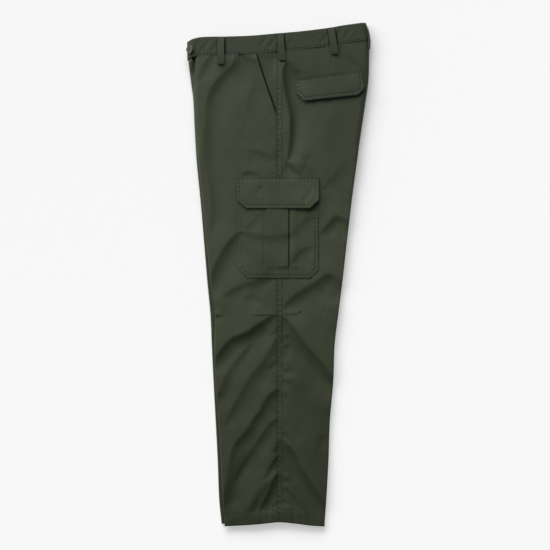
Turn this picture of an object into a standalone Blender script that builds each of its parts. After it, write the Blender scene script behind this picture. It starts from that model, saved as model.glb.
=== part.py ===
"""Cargo pants in olive twill, folded in half along the rise and laid flat.

The left leg lies on the right one with its outer side up. The waist points to +Y, the front edge to -X
and the seat to +X. Lengths are metres. The origin is on the surface, under the middle of the garment.
"""

import math
from collections import namedtuple

import bmesh
import bpy
from mathutils import Matrix, Vector

# Driving sizes.
CLOTH = 0.0012  # a panel's wall
BAND_CLOTH = 0.0024  # the waistband, which is two layers and a stiffener
BAND_WIDTH = 0.038
BAND_PROUD = 0.0008  # the band's face stands this far above the panels
SEAM_GAP = 0.0003
WAIST_GAP = 0.0005
LEG_GAP = 0.0010  # between the folds of the upper and the lower leg
CROTCH_Y = 0.262
CROTCH_BLEND = 0.040
EDGE_ROUND = 1.25  # a fold's width as a share of its height
BAND_FRONT_ROUND = 1.25  # the band's front end slopes down more slowly
BAND_FRONT_WEDGE = 1.4
BAND_FRONT_LIFT = 0.0020  # and its end stays this far off the lower half
CROWN_DROP = 0.20  # the pile is this much lower beside its folds
MOUTH_DROP = 0.04  # and this much lower at the waist's mouth
MOUTH_REACH = 0.070

# Colours.
OLIVE = (0.046, 0.056, 0.035, 1.0)
OLIVE_BUTTON = (0.035, 0.042, 0.028, 1.0)

# The pile from hem to waist: the folded edges of the upper leg, those of the lower leg, and the height.
Station = namedtuple("Station", "y front seat under_front under_seat height")
STATIONS = (
    Station(-0.536, -0.1161, 0.0993, -0.1226, 0.0958, 0.0108),
    Station(-0.485, -0.1204, 0.1029, -0.1278, 0.0994, 0.0122),
    Station(-0.399, -0.1243, 0.1077, -0.1311, 0.1041, 0.0132),
    Station(-0.313, -0.1292, 0.1107, -0.1356, 0.1072, 0.0138),
    Station(-0.227, -0.1365, 0.1181, -0.1402, 0.1144, 0.0142),
    Station(-0.152, -0.1380, 0.1208, -0.1438, 0.1168, 0.0147),
    Station(-0.087, -0.1370, 0.1284, -0.1466, 0.1246, 0.0152),
    Station(-0.018, -0.1462, 0.1372, -0.1531, 0.1336, 0.0157),
    Station(0.074, -0.1559, 0.1475, -0.1608, 0.1443, 0.0172),
    Station(0.160, -0.1638, 0.1576, -0.1681, 0.1546, 0.0192),
    Station(0.246, -0.1731, 0.1692, -0.1765, 0.1673, 0.0216),
    Station(0.311, -0.1797, 0.1784, -0.1804, 0.1774, 0.0230),
    Station(0.375, -0.1826, 0.1879, -0.1834, 0.1869, 0.0235),
    Station(0.418, -0.1815, 0.1937, -0.1890, 0.1929, 0.0235),
    Station(0.468, -0.1795, 0.1950, -0.1946, 0.1944, 0.0230),
    Station(0.545, -0.1795, 0.1950, -0.1946, 0.1944, 0.0220),
)

# Lines across the pile, as heights on the page for places from front to seat.
LinePoint = namedtuple("LinePoint", "x y")
WAIST_SEAM = (
    LinePoint(-0.1963, 0.4612),
    LinePoint(-0.1840, 0.4670),
    LinePoint(-0.1640, 0.4710),
    LinePoint(-0.1150, 0.4719),
    LinePoint(-0.0613, 0.4734),
    LinePoint(-0.0032, 0.4784),
    LinePoint(0.0462, 0.4827),
    LinePoint(0.1064, 0.4902),
    LinePoint(0.1430, 0.4966),
    LinePoint(0.1967, 0.5040),
)
HEM = (
    LinePoint(-0.1161, -0.5417),
    LinePoint(-0.0828, -0.5400),
    LinePoint(-0.0398, -0.5368),
    LinePoint(0.0010, -0.5329),
    LinePoint(0.0355, -0.5357),
    LinePoint(0.0677, -0.5400),
    LinePoint(0.0989, -0.5422),
)
UNDER_HEM_LIFT = 0.0050  # the lower leg ends this far above the upper one's hem
UNDER_WAIST_DROP = 0.0015
SIDE_SEAM_X = -0.0032

# The waistband's two ends, from its seam (rise 0) to its top edge (rise 1).
BandEnd = namedtuple("BandEnd", "rise front seat")
BAND_ENDS = (
    BandEnd(0.0, -0.1958, 0.1950),
    BandEnd(0.5, -0.1963, 0.1918),
    BandEnd(1.0, -0.1963, 0.1853),
)

# The largest folds in the upper leg. Each is a soft roll along a line: a steep bank, as half its width,
# drops towards the hem and seat, and beyond it the cloth comes back up over a wider one.
Fold = namedtuple("Fold", "where depth steep wide line")
DOWNHILL = Vector((0.45, -0.89))
FOLD_FADE = 0.22  # a fold dies out over this share of its length at each end
FOLD_RIDGE = 0.35  # the roll stands this share of the depth above the cloth
FOLDS = (
    Fold("seat", 0.0036, 0.007, 0.018, ((0.014, 0.450), (0.018, 0.392), (0.029, 0.343), (0.025, 0.250))),
    Fold("front of hip", 0.0022, 0.010, 0.025,
         ((-0.098, 0.466), (-0.131, 0.424), (-0.152, 0.360), (-0.152, 0.260))),
    Fold("waist front", 0.0018, 0.009, 0.020, ((-0.143, 0.472), (-0.160, 0.448), (-0.178, 0.418))),
    Fold("beside cargo, seat", 0.0026, 0.009, 0.022, ((0.145, 0.109), (0.122, 0.124), (0.093, 0.086))),
    Fold("beside cargo, front", 0.0030, 0.010, 0.022, ((-0.091, 0.085), (-0.122, 0.040), (-0.145, -0.020))),
    Fold("back of knee", 0.0034, 0.010, 0.022,
         ((0.137, -0.023), (0.106, 0.004), (0.072, -0.018), (0.010, -0.068))),
    Fold("above knee", 0.0018, 0.009, 0.020, ((-0.014, -0.010), (-0.082, -0.030), (-0.128, -0.053))),
    Fold("knee, front", 0.0048, 0.010, 0.024,
         ((-0.006, -0.087), (-0.050, -0.122), (-0.094, -0.137), (-0.134, -0.177))),
    Fold("knee, seat", 0.0040, 0.012, 0.026,
         ((0.012, -0.091), (0.046, -0.130), (0.085, -0.173), (0.117, -0.222))),
    Fold("shin, upper", 0.0024, 0.009, 0.020, ((-0.072, -0.162), (-0.104, -0.205), (-0.130, -0.259))),
    Fold("shin, middle", 0.0030, 0.010, 0.022,
         ((-0.010, -0.150), (-0.053, -0.222), (-0.083, -0.270), (-0.118, -0.320))),
    Fold("shin, long", 0.0042, 0.010, 0.022,
         ((-0.003, -0.246), (-0.044, -0.296), (-0.092, -0.366), (-0.116, -0.487))),
    Fold("shin, short", 0.0028, 0.008, 0.018, ((-0.004, -0.313), (-0.034, -0.366), (-0.070, -0.405))),
    Fold("hem, front", 0.0038, 0.009, 0.020,
         ((-0.002, -0.425), (-0.018, -0.463), (-0.036, -0.492), (-0.050, -0.508))),
    Fold("calf, long", 0.0038, 0.010, 0.022,
         ((0.008, -0.360), (0.042, -0.399), (0.072, -0.448), (0.096, -0.495))),
    Fold("calf, short", 0.0024, 0.008, 0.018, ((0.012, -0.457), (0.029, -0.474), (0.053, -0.502))),
)

# Pieces laid on the upper leg, each as the corners of its outline.
HAND_POCKET_MOUTH = ((-0.0484, 0.4730), (-0.0355, 0.4311), (-0.0226, 0.3924), (-0.0118, 0.3623),
                     (-0.0034, 0.3370))
BACK_FLAP = ((0.0344, 0.4203), (0.0398, 0.3881), (0.0548, 0.3720), (0.1709, 0.3849), (0.1838, 0.3988),
             (0.1784, 0.4386))
CARGO_POCKET = ((-0.0871, 0.1955), (-0.0871, 0.0140), (-0.0677, -0.0075), (0.0677, -0.0082), (0.0856, 0.0097),
                (0.0856, 0.1955))
CARGO_FLAP = ((-0.0897, 0.2064), (-0.0892, 0.1610), (-0.0688, 0.1419), (0.0667, 0.1419), (0.0860, 0.1602),
              (0.0866, 0.2079))
POCKET_CLOTH = 0.0015
PLEAT_FRONT_X = -0.0262
PLEAT_SEAT_X = 0.0215
PLEAT_CLOTH = 0.0014  # the box pleat's extra folded layers
FLAP_CLOTH = 0.0018
FLAP_SEWN = 0.010  # the strip along a flap's top edge that is sewn flat to the panel
PIECE_GAP = 0.0005

# Belt loops: the top front corner's place, the width, the length and how far the lower end leans to the seat.
Loop = namedtuple("Loop", "name x width length lean")
LOOPS = (
    Loop("belt_loop_front", -0.1305, 0.0140, 0.0590, 0.0),
    Loop("belt_loop_side", -0.0034, 0.0135, 0.0575, 0.0045),
    Loop("belt_loop_back", 0.1053, 0.0140, 0.0560, 0.0086),
)
LOOP_CLOTH = 0.0018
LOOP_ARCH = 0.0020
CENTRE_LOOP_ABOVE = 0.0080  # its width on the upper half of the fold
CENTRE_LOOP_BELOW = 0.0045
CENTRE_LOOP_ARCH = 0.0008
CENTRE_LOOP_LENGTH = 0.056
CENTRE_LOOP_DROP = 0.0195  # how far it runs below the waist seam

# The waist button lies on the rounded front fold of the band.
BUTTON_RADIUS = 0.0090
BUTTON_THICK = 0.0026
BUTTON_RIM = 0.0017
BUTTON_RECESS = 0.0007
BUTTON_HOLE_RADIUS = 0.0009
BUTTON_HOLE_PLACE = 0.0017
BUTTON_RISE = 0.46  # share of the band's width above its seam
BUTTON_TURN = math.radians(56.0)  # its place on the fold, from the fold's edge to its top
BUTTON_TILT = math.radians(38.0)
BUTTON_SHANK = 0.0018

# The hidden layers.
CORE_CLEAR = 0.0070  # below the upper leg's unfolded face
CORE_MOUTH = 0.0018  # clear space at each end's mouths
CORE_SET_BACK = 0.0035
CORE_SQUARENESS = 0.36
CORE_SLIT = 0.0008
CORE_SLIT_DEPTH = 0.030

# How finely the panels are divided.
Steps = namedtuple("Steps", "across along")
UPPER_STEPS = Steps(16, 62)
LOWER_STEPS = Steps(5, 24)
CORE_STEPS = Steps(28, 24)
BAND_STEPS = Steps(12, 3)
EDGE_STEPS = 5
PATCH_STEP = 0.020


def clear_scene():
    for thing in list(bpy.data.objects):
        bpy.data.objects.remove(thing, do_unlink=True)


def make_material(name, colour, roughness):
    material = bpy.data.materials.new(name)
    material.use_nodes = True
    shader = material.node_tree.nodes["Principled BSDF"]
    shader.inputs["Base Color"].default_value = colour
    shader.inputs["Roughness"].default_value = roughness
    shader.inputs["Metallic"].default_value = 0.0
    return material


def blend(start, end, share):
    return start + (end - start) * share


def smooth_share(share):
    share = min(1.0, max(0.0, share))
    return share * share * (3.0 - 2.0 * share)


def read_curve(rows, key, value, at):
    """Read one column of a table against another, on a smooth curve through its rows."""
    keys = [getattr(row, key) for row in rows]
    values = [getattr(row, value) for row in rows]
    at = min(max(at, keys[0]), keys[-1])
    index = max(i for i in range(len(keys) - 1) if keys[i] <= at)

    def slope(i):
        before = max(i - 1, 0)
        after = min(i + 1, len(keys) - 1)
        return (values[after] - values[before]) / (keys[after] - keys[before])

    span = keys[index + 1] - keys[index]
    share = (at - keys[index]) / span
    start = values[index]
    end = values[index + 1]
    ease = smooth_share(share)
    leave = share * (1.0 - share) ** 2 * slope(index) * span
    arrive = share * share * (1.0 - share) * slope(index + 1) * span
    return blend(start, end, ease) + leave - arrive


def edge_x(column, y):
    return read_curve(STATIONS, "y", column, y)


def line_y(line, x):
    return read_curve(line, "x", "y", x)


def wrap(y):
    """0 above the crotch, where the folds close on each other, to 1 below it, where each leg curls under."""
    return smooth_share((CROTCH_Y - y) / CROTCH_BLEND + 0.5)


def under_turn(y):
    return math.radians(80.0) * wrap(y)


def pile_height(x, y):
    """Height of the pile's crown line, lower towards the waist's mouth."""
    to_mouth = line_y(WAIST_SEAM, x) + BAND_WIDTH - y
    drop = MOUTH_DROP * (1.0 - smooth_share(to_mouth / MOUTH_REACH))
    return edge_x("height", y) * (1.0 - drop)


def mid_height(x, y):
    """The level at which the two legs' folds meet."""
    return pile_height(x, y) * (1.0 - CROWN_DROP) * 0.5


def distance_to_line(line, x, y):
    """Distance from a place to a fold's line, and how far along it (0 to 1) the nearest point is.

    The distance is positive on the side that the fold drops to.
    """
    place = Vector((x, y))
    points = [Vector(point) for point in line]
    lengths = [(end - start).length for start, end in zip(points, points[1:])]
    whole = points[-1] - points[0]
    drops_left = math.copysign(1.0, Vector((-whole.y, whole.x)).dot(DOWNHILL))
    best = None
    walked = 0.0
    for start, end, length in zip(points, points[1:], lengths):
        along = (end - start) / length
        step = min(length, max(0.0, (place - start).dot(along)))
        offset = place - start - along * step
        if best is None or offset.length < abs(best[0]):
            side = along.x * offset.y - along.y * offset.x
            best = (math.copysign(offset.length, side * drops_left), walked + step)
        walked += length
    return best[0], best[1] / walked


def distance_outside(outline, x, y):
    """How far a place is outside the box round an outline; 0 inside it."""
    xs = [corner[0] for corner in outline]
    ys = [corner[1] for corner in outline]
    beside = max(min(xs) - x, x - max(xs), 0.0)
    past = max(min(ys) - y, y - max(ys), 0.0)
    return math.hypot(beside, past)


def roll_height(away, fold):
    """The section of a fold of depth 1: a low roll, its steep bank, and the slow rise beyond."""
    bank = smooth_share(away / (2.0 * fold.steep) + 0.5)
    beyond = max(0.0, away - fold.steep) / fold.wide
    roll = (away + 1.2 * fold.steep) / (1.5 * fold.steep)
    return FOLD_RIDGE * math.exp(-roll * roll) - bank * math.exp(-beyond * beyond)


def fold_height(x, y):
    """How far the folds raise or lower the upper leg. They die out under the flaps and the cargo pocket."""
    covered = min(distance_outside(outline, x, y) for outline in (CARGO_POCKET, CARGO_FLAP, BACK_FLAP))
    bare = smooth_share((covered - 0.004) / 0.012)
    height = 0.0
    for fold in FOLDS:
        away, along = distance_to_line(fold.line, x, y)
        fade = smooth_share(min(along, 1.0 - along) / FOLD_FADE)
        height += fold.depth * fade * roll_height(away, fold)
    return height * bare


def bare_cover(x, y):
    """The upper leg's face with no folds in it."""
    front = edge_x("front", y)
    seat = edge_x("seat", y)
    across = (2.0 * x - front - seat) / (seat - front)
    return pile_height(x, y) * (1.0 - CROWN_DROP * min(1.0, abs(across)) ** 2.4)


def cover(x, y):
    return bare_cover(x, y) + fold_height(x, y)


def band_cover(x, y):
    return bare_cover(x, y) + BAND_PROUD


def upper_point(edge, inward, column, seam, y, face, roundness=EDGE_ROUND, wedge=1.0, lift=LEG_GAP * 0.5):
    """A point of an upper shell: on its round edge for columns -1 to 0, then on its way to the seam at 1."""
    turn_end = under_turn(y)
    mid = mid_height(edge, y) + lift
    width = mid * roundness / (1.0 + math.sin(turn_end))
    shoulder_x = edge + inward * width
    if column >= 0.0:
        x = blend(shoulder_x, seam, column)
        return Vector((x, y, face(x, y)))
    turn = blend(math.pi / 2.0, -turn_end, -column)
    top = face(shoulder_x, y)
    half = (top - mid) / (1.0 + math.sin(turn_end))
    inside = width * (1.0 - math.cos(turn) ** wedge)
    rise = math.copysign(half * abs(math.sin(turn)) ** wedge, turn)
    return Vector((edge + inward * inside, y, top - half + rise))


def lower_point(edge, inward, column, seam, y):
    """A point of a lower shell, which lies flat on the surface and curls up at its edge."""
    turn_end = under_turn(y)
    mid = mid_height(edge, y) - LEG_GAP * 0.5
    half = mid / (1.0 + math.sin(turn_end))
    width = half * EDGE_ROUND
    if column >= 0.0:
        return Vector((blend(edge + inward * width, seam, column), y, 0.0))
    turn = blend(math.pi / 2.0, -turn_end, -column)
    inside = width * (1.0 - math.cos(turn))
    return Vector((edge + inward * inside, y, half - half * math.sin(turn)))


def across_steps(flat_steps):
    """Columns of a shell: from -1 at its curled end to 0 on its shoulder and on to 1 at its seam."""
    round_edge = [-1.0 + step / EDGE_STEPS for step in range(EDGE_STEPS)]
    return round_edge + [step / flat_steps for step in range(flat_steps + 1)]


def finish_object(name, mesh, material):
    data = bpy.data.meshes.new(name)
    mesh.to_mesh(data)
    mesh.free()
    data.materials.append(material)
    data.shade_smooth()
    data.set_sharp_from_angle(angle=math.radians(40.0))
    thing = bpy.data.objects.new(name, data)
    bpy.context.scene.collection.objects.link(thing)
    return thing


def wall(name, columns, rows, place, outward, thickness, material):
    """A wall of cloth: a grid put in place point by point, then thickened inward."""
    mesh = bmesh.new()
    bmesh.ops.create_grid(mesh, x_segments=len(columns) - 1, y_segments=rows, size=0.5)
    for vert in mesh.verts:
        column = columns[round((vert.co.x + 0.5) * (len(columns) - 1))]
        vert.co = place(column, vert.co.y + 0.5)
    mesh.normal_update()
    middle = min(mesh.faces, key=lambda face: (face.calc_center_median() - centre_of(mesh)).length)
    if middle.normal.dot(outward) < 0.0:
        bmesh.ops.reverse_faces(mesh, faces=mesh.faces[:])
    thing = finish_object(name, mesh, material)
    thicken = thing.modifiers.new("Cloth", "SOLIDIFY")
    thicken.thickness = thickness
    thicken.offset = -1.0
    return thing


def centre_of(mesh):
    return sum((vert.co for vert in mesh.verts), Vector()) / len(mesh.verts)


def make_panel(name, edge_column, is_upper, material):
    """One of the four main panels, from its folded edge to the side seam and from hem to waist seam."""
    inward = 1.0 if "front" in edge_column else -1.0
    seam = SIDE_SEAM_X - inward * SEAM_GAP * 0.5
    hem_lift = 0.0 if is_upper else UNDER_HEM_LIFT
    waist_drop = WAIST_GAP if is_upper else 3.0 * WAIST_GAP + UNDER_WAIST_DROP

    def point_at(column, y):
        edge = edge_x(edge_column, y)
        if is_upper:
            return upper_point(edge, inward, column, seam, y, cover)
        return lower_point(edge, inward, column, seam, y)

    def place(column, up):
        low = line_y(HEM, point_at(column, HEM[0].y).x) + hem_lift
        high = line_y(WAIST_SEAM, point_at(column, WAIST_SEAM[1].y).x) - waist_drop
        return point_at(column, blend(low, high, up))

    outward = Vector((0.0, 0.0, 1.0 if is_upper else -1.0))
    steps = UPPER_STEPS if is_upper else LOWER_STEPS
    return wall(name, across_steps(steps.across), steps.along, place, outward, CLOTH, material)


def band_point(column, rise, is_upper):
    """A point of the waistband; the column runs from -1 at the front's split edge to 3 at the seat's."""
    seat_half = column > 1.0
    edge = read_curve(BAND_ENDS, "rise", "seat" if seat_half else "front", rise)
    inward = -1.0 if seat_half else 1.0
    share = 2.0 - column if seat_half else column
    drop = 0.0 if is_upper else UNDER_WAIST_DROP

    def point_at(y):
        if not is_upper:
            return lower_point(edge, inward, share, SIDE_SEAM_X, y)
        if seat_half:
            return upper_point(edge, inward, share, SIDE_SEAM_X, y, band_cover)
        return upper_point(edge, inward, share, SIDE_SEAM_X, y, band_cover,
                           BAND_FRONT_ROUND, BAND_FRONT_WEDGE, BAND_FRONT_LIFT)

    above_seam = BAND_WIDTH * rise - drop
    x = point_at(line_y(WAIST_SEAM, edge) + above_seam).x
    return point_at(line_y(WAIST_SEAM, x) + above_seam)


def make_waistband(name, is_upper, material):
    half = across_steps(BAND_STEPS.across)
    columns = half + [2.0 - column for column in reversed(half[:-1])]
    outward = Vector((0.0, 0.0, 1.0 if is_upper else -1.0))

    def place(column, up):
        return band_point(column, up, is_upper)

    return wall(name, columns, BAND_STEPS.along, place, outward, BAND_CLOTH, material)


def cut_places(low, high, step):
    count = max(1, round((high - low) / step))
    return [blend(low, high, index / count) for index in range(1, count)]


def slice_flat(mesh, axis, places):
    for place in places:
        point = Vector((0.0, 0.0, 0.0))
        point[axis] = place
        direction = Vector((0.0, 0.0, 0.0))
        direction[axis] = 1.0
        everything = mesh.verts[:] + mesh.edges[:] + mesh.faces[:]
        bmesh.ops.bisect_plane(mesh, geom=everything, dist=1e-6, plane_co=point, plane_no=direction)


def make_patch(name, outline, under, thickness, material, extra_x=(), extra_y=()):
    """A piece cut to an outline and laid on what is under it.

    Its lower face follows one function of the place, and its thickness another.
    """
    mesh = bmesh.new()
    mesh.faces.new([mesh.verts.new((x, y, 0.0)) for x, y in outline])
    xs = [corner[0] for corner in outline]
    ys = [corner[1] for corner in outline]
    slice_flat(mesh, 0, cut_places(min(xs), max(xs), PATCH_STEP) + list(extra_x))
    slice_flat(mesh, 1, cut_places(min(ys), max(ys), PATCH_STEP) + list(extra_y))
    grown = bmesh.ops.extrude_face_region(mesh, geom=mesh.faces[:])
    upper = {part for part in grown["geom"] if isinstance(part, bmesh.types.BMVert)}
    for vert in mesh.verts:
        x = vert.co.x
        y = vert.co.y
        vert.co.z = under(x, y) + (thickness(x, y) if vert in upper else 0.0)
    bmesh.ops.recalc_face_normals(mesh, faces=mesh.faces[:])
    return finish_object(name, mesh, material)


def make_belt_loop(loop, material):
    """A strip that bridges the band: its ends lie on the band and the panel, its middle stands off."""
    top = line_y(WAIST_SEAM, loop.x) + BAND_WIDTH - 0.0004
    low = top - loop.length
    low_x = loop.x + loop.lean
    outline = ((loop.x, top), (low_x, low), (low_x + loop.width, low), (loop.x + loop.width, top))

    def under(x, y):
        arch = LOOP_ARCH * math.sin(math.pi * (y - low) / loop.length)
        return band_cover(x, y) + PIECE_GAP + arch

    return make_patch(loop.name, outline, under, lambda x, y: LOOP_CLOTH, material)


def make_centre_back_loop(material):
    """The centre-back loop is folded round the seat edge, half on each leg's side."""
    rows = 6

    def place(column, up):
        seam_y = WAIST_SEAM[-1].y
        y = seam_y - CENTRE_LOOP_DROP + CENTRE_LOOP_LENGTH * up
        rise = min(1.0, max(0.0, (y - seam_y) / BAND_WIDTH))
        edge = max(read_curve(BAND_ENDS, "rise", "seat", rise), edge_x("seat", min(y, seam_y)) - 0.012 * rise)
        mid = mid_height(edge, y)
        reach = mid * EDGE_ROUND
        upper_half = band_cover(edge - reach, y) - mid
        half = blend(mid, upper_half, 0.5 + 0.5 * column)
        turn = (CENTRE_LOOP_ABOVE if column > 0.0 else CENTRE_LOOP_BELOW) / half * column
        normal = Vector((math.cos(turn) / reach, 0.0, math.sin(turn) / half)).normalized()
        on_band = Vector((edge - reach * (1.0 - math.cos(turn)), y, mid + half * math.sin(turn)))
        lift = PIECE_GAP + CENTRE_LOOP_ARCH * math.sin(math.pi * up)
        return on_band + normal * (lift + LOOP_CLOTH)

    columns = [step / 4.0 - 1.0 for step in range(9)]
    return wall("belt_loop_centre_back", columns, rows, place, Vector((1.0, 0.0, 0.0)), LOOP_CLOTH, material)


def make_hand_pocket_facing(front_panel, material):
    """The facing shows in the slant mouth: a wedge between the front's cut edge and the side seam."""
    seam = SIDE_SEAM_X - SEAM_GAP
    mouth = list(HAND_POCKET_MOUTH[:-1])
    top_left = mouth[0][0]
    beyond_seam = [(seam + SEAM_GAP, HAND_POCKET_MOUTH[-1][1]), (SEAM_GAP, 0.520)]
    cutter_outline = [(top_left, 0.520)] + mouth + beyond_seam
    cutter = make_patch("mouth_cutter", cutter_outline, lambda x, y: 0.010, lambda x, y: 0.030, material)
    cutter.hide_render = True
    cutter.display_type = "WIRE"
    cut = front_panel.modifiers.new("Pocket mouth", "BOOLEAN")
    cut.operation = "DIFFERENCE"
    cut.object = cutter

    inset = [(x + 2.0 * SEAM_GAP, y) for x, y in mouth]
    inset[0] = (top_left + 2.0 * SEAM_GAP, line_y(WAIST_SEAM, top_left) - 2.0 * WAIST_GAP)
    tip = (seam, HAND_POCKET_MOUTH[-1][1] + 0.003)
    top_right = (seam, line_y(WAIST_SEAM, seam) - 2.0 * WAIST_GAP)
    outline = inset + [tip, top_right]
    sink = 0.0010

    def under(x, y):
        return cover(x, y) - CLOTH - sink

    return make_patch("hand_pocket_facing", outline, under, lambda x, y: CLOTH, material)


def make_cargo_pocket(material):
    """The patch pocket with a box pleat down its middle, which stands higher than the rest."""
    def under(x, y):
        return bare_cover(x, y) + PIECE_GAP

    def thickness(x, y):
        in_pleat = PLEAT_FRONT_X < x < PLEAT_SEAT_X
        return POCKET_CLOTH + (PLEAT_CLOTH if in_pleat else 0.0)

    steps = []
    for fold_x in (PLEAT_FRONT_X, PLEAT_SEAT_X):
        steps += [fold_x - 0.0004, fold_x + 0.0004]
    return make_patch("cargo_pocket", CARGO_POCKET, under, thickness, material, extra_x=steps)


def make_cargo_flap(material):
    """The flap is sewn flat to the panel along its top and falls over the pocket's mouth."""
    top = CARGO_FLAP[0][1]

    def under(x, y):
        over = smooth_share((top - y) / FLAP_SEWN)
        return bare_cover(x, y) + PIECE_GAP + over * (POCKET_CLOTH + PLEAT_CLOTH + PIECE_GAP)

    return make_patch("cargo_flap", CARGO_FLAP, under, lambda x, y: FLAP_CLOTH, material,
                      extra_y=(top - 0.25 * FLAP_SEWN, top - 0.5 * FLAP_SEWN, top - 0.75 * FLAP_SEWN))


def make_back_flap(material):
    return make_patch("back_pocket_flap", BACK_FLAP, lambda x, y: bare_cover(x, y) + PIECE_GAP,
                      lambda x, y: FLAP_CLOTH, material)


def make_button(material):
    """A turned four-hole button on the band's front fold, flat against the cloth there."""
    column = BUTTON_TURN / (math.pi / 2.0) - 1.0
    seat = band_point(column, BUTTON_RISE, True)
    normal = Vector((-math.sin(BUTTON_TILT), 0.0, math.cos(BUTTON_TILT)))

    profile = (
        (0.0, 0.0),
        (BUTTON_RADIUS - 0.0008, 0.0),
        (BUTTON_RADIUS, 0.0008),
        (BUTTON_RADIUS, BUTTON_THICK - 0.0007),
        (BUTTON_RADIUS - 0.0006, BUTTON_THICK),
        (BUTTON_RADIUS - BUTTON_RIM, BUTTON_THICK - 0.0001),
        (BUTTON_RADIUS - BUTTON_RIM - 0.0006, BUTTON_THICK - BUTTON_RECESS),
        (0.0, BUTTON_THICK - BUTTON_RECESS),
    )
    mesh = bmesh.new()
    ring = [mesh.verts.new((radius, 0.0, height)) for radius, height in profile]
    edges = [mesh.edges.new(pair) for pair in zip(ring, ring[1:])]
    bmesh.ops.spin(mesh, geom=ring + edges, axis=(0.0, 0.0, 1.0), cent=(0.0, 0.0, 0.0), angle=math.tau,
                   steps=28, use_merge=True)
    bmesh.ops.remove_doubles(mesh, verts=mesh.verts[:], dist=1e-6)
    bmesh.ops.recalc_face_normals(mesh, faces=mesh.faces[:])
    button = finish_object("button", mesh, material)
    button.rotation_euler = normal.to_track_quat("Z", "X").to_euler()
    button.location = seat + normal * BUTTON_SHANK

    for index in range(4):
        turn = math.tau * (index + 0.5) / 4.0
        mesh = bmesh.new()
        bmesh.ops.create_cone(mesh, cap_ends=True, segments=10, radius1=BUTTON_HOLE_RADIUS,
                              radius2=BUTTON_HOLE_RADIUS, depth=4.0 * BUTTON_THICK)
        along = Vector((math.cos(turn), math.sin(turn), 0.0)) * BUTTON_HOLE_PLACE
        bmesh.ops.translate(mesh, verts=mesh.verts[:], vec=along)
        hole = finish_object(f"button_hole_{index + 1}", mesh, material)
        hole.parent = button
        hole.hide_render = True
        hole.display_type = "WIRE"
        cut = button.modifiers.new(hole.name, "BOOLEAN")
        cut.operation = "DIFFERENCE"
        cut.object = hole
    return button


def make_hidden_layers(material):
    """The inner halves of both legs, the crotch and the pocket bags, as one rounded solid."""
    low_y = HEM[3].y + CORE_SET_BACK
    high_y = WAIST_SEAM[0].y + BAND_WIDTH - CORE_SET_BACK

    def signed_power(value):
        return math.copysign(abs(value) ** CORE_SQUARENESS, value)

    def ring_point(turn, up):
        y = blend(low_y, high_y, up)
        front = max(edge_x("front", y), edge_x("under_front", y))
        seat = min(edge_x("seat", y), edge_x("under_seat", y))
        margin = mid_height(0.0, y) * EDGE_ROUND + 0.0012
        middle = (front + seat) * 0.5
        half_width = (seat - front) * 0.5 - margin
        x = middle + half_width * signed_power(math.cos(turn))
        near_hem = 1.0 - smooth_share((y - low_y) / 0.06)
        near_waist = 1.0 - smooth_share((high_y - y) / 0.06)
        floor = CLOTH + SEAM_GAP + CORE_MOUTH * near_hem + (BAND_CLOTH - CLOTH + 0.001) * near_waist
        clear = blend(CORE_CLEAR, CLOTH + CORE_MOUTH, near_hem)
        roof = bare_cover(x, y) - clear
        mid = mid_height(0.0, y)
        rounded = signed_power(math.sin(turn))
        reach = roof - mid if rounded > 0.0 else mid - floor
        return Vector((x, y, mid + reach * rounded))

    mesh = bmesh.new()
    bmesh.ops.create_grid(mesh, x_segments=CORE_STEPS.across, y_segments=CORE_STEPS.along, size=0.5)
    for vert in mesh.verts:
        vert.co = ring_point(math.tau * (vert.co.x + 0.5), vert.co.y + 0.5)
    bmesh.ops.remove_doubles(mesh, verts=mesh.verts[:], dist=1e-6)
    bmesh.ops.holes_fill(mesh, edges=mesh.edges[:], sides=0)
    bmesh.ops.recalc_face_normals(mesh, faces=mesh.faces[:])
    core = finish_object("hidden_layers", mesh, material)

    mesh = bmesh.new()
    bmesh.ops.create_cube(mesh, size=1.0)
    slit_mid = mid_height(0.0, low_y)
    size = Matrix.Diagonal((0.5, 2.0 * CORE_SLIT_DEPTH, CORE_SLIT, 1.0))
    bmesh.ops.transform(mesh, matrix=Matrix.Translation((0.0, low_y, slit_mid)) @ size, verts=mesh.verts[:])
    slit = finish_object("slit_cutter", mesh, material)
    slit.hide_render = True
    slit.display_type = "WIRE"
    cut = core.modifiers.new("Between the legs", "BOOLEAN")
    cut.operation = "DIFFERENCE"
    cut.object = slit
    return core


clear_scene()
twill = make_material("olive_twill", OLIVE, 0.85)
resin = make_material("olive_button", OLIVE_BUTTON, 0.35)

left_front = make_panel("left_front", "front", True, twill)
make_panel("left_back", "seat", True, twill)
make_panel("right_front", "under_front", False, twill)
make_panel("right_back", "under_seat", False, twill)
make_hidden_layers(twill)
make_waistband("waistband_left", True, twill)
make_waistband("waistband_right", False, twill)
for belt_loop in LOOPS:
    make_belt_loop(belt_loop, twill)
make_centre_back_loop(twill)
make_hand_pocket_facing(left_front, twill)
make_back_flap(twill)
make_cargo_pocket(twill)
make_cargo_flap(twill)
make_button(resin)
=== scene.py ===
"""Cargo pants in olive twill, folded in half along the rise and laid flat on a pale table.

The left leg lies on the right one with its outer side up. The waist points to +Y, the front edge to -X
and the seat to +X. Lengths are metres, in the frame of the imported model.
"""

import math
from collections import namedtuple

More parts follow.
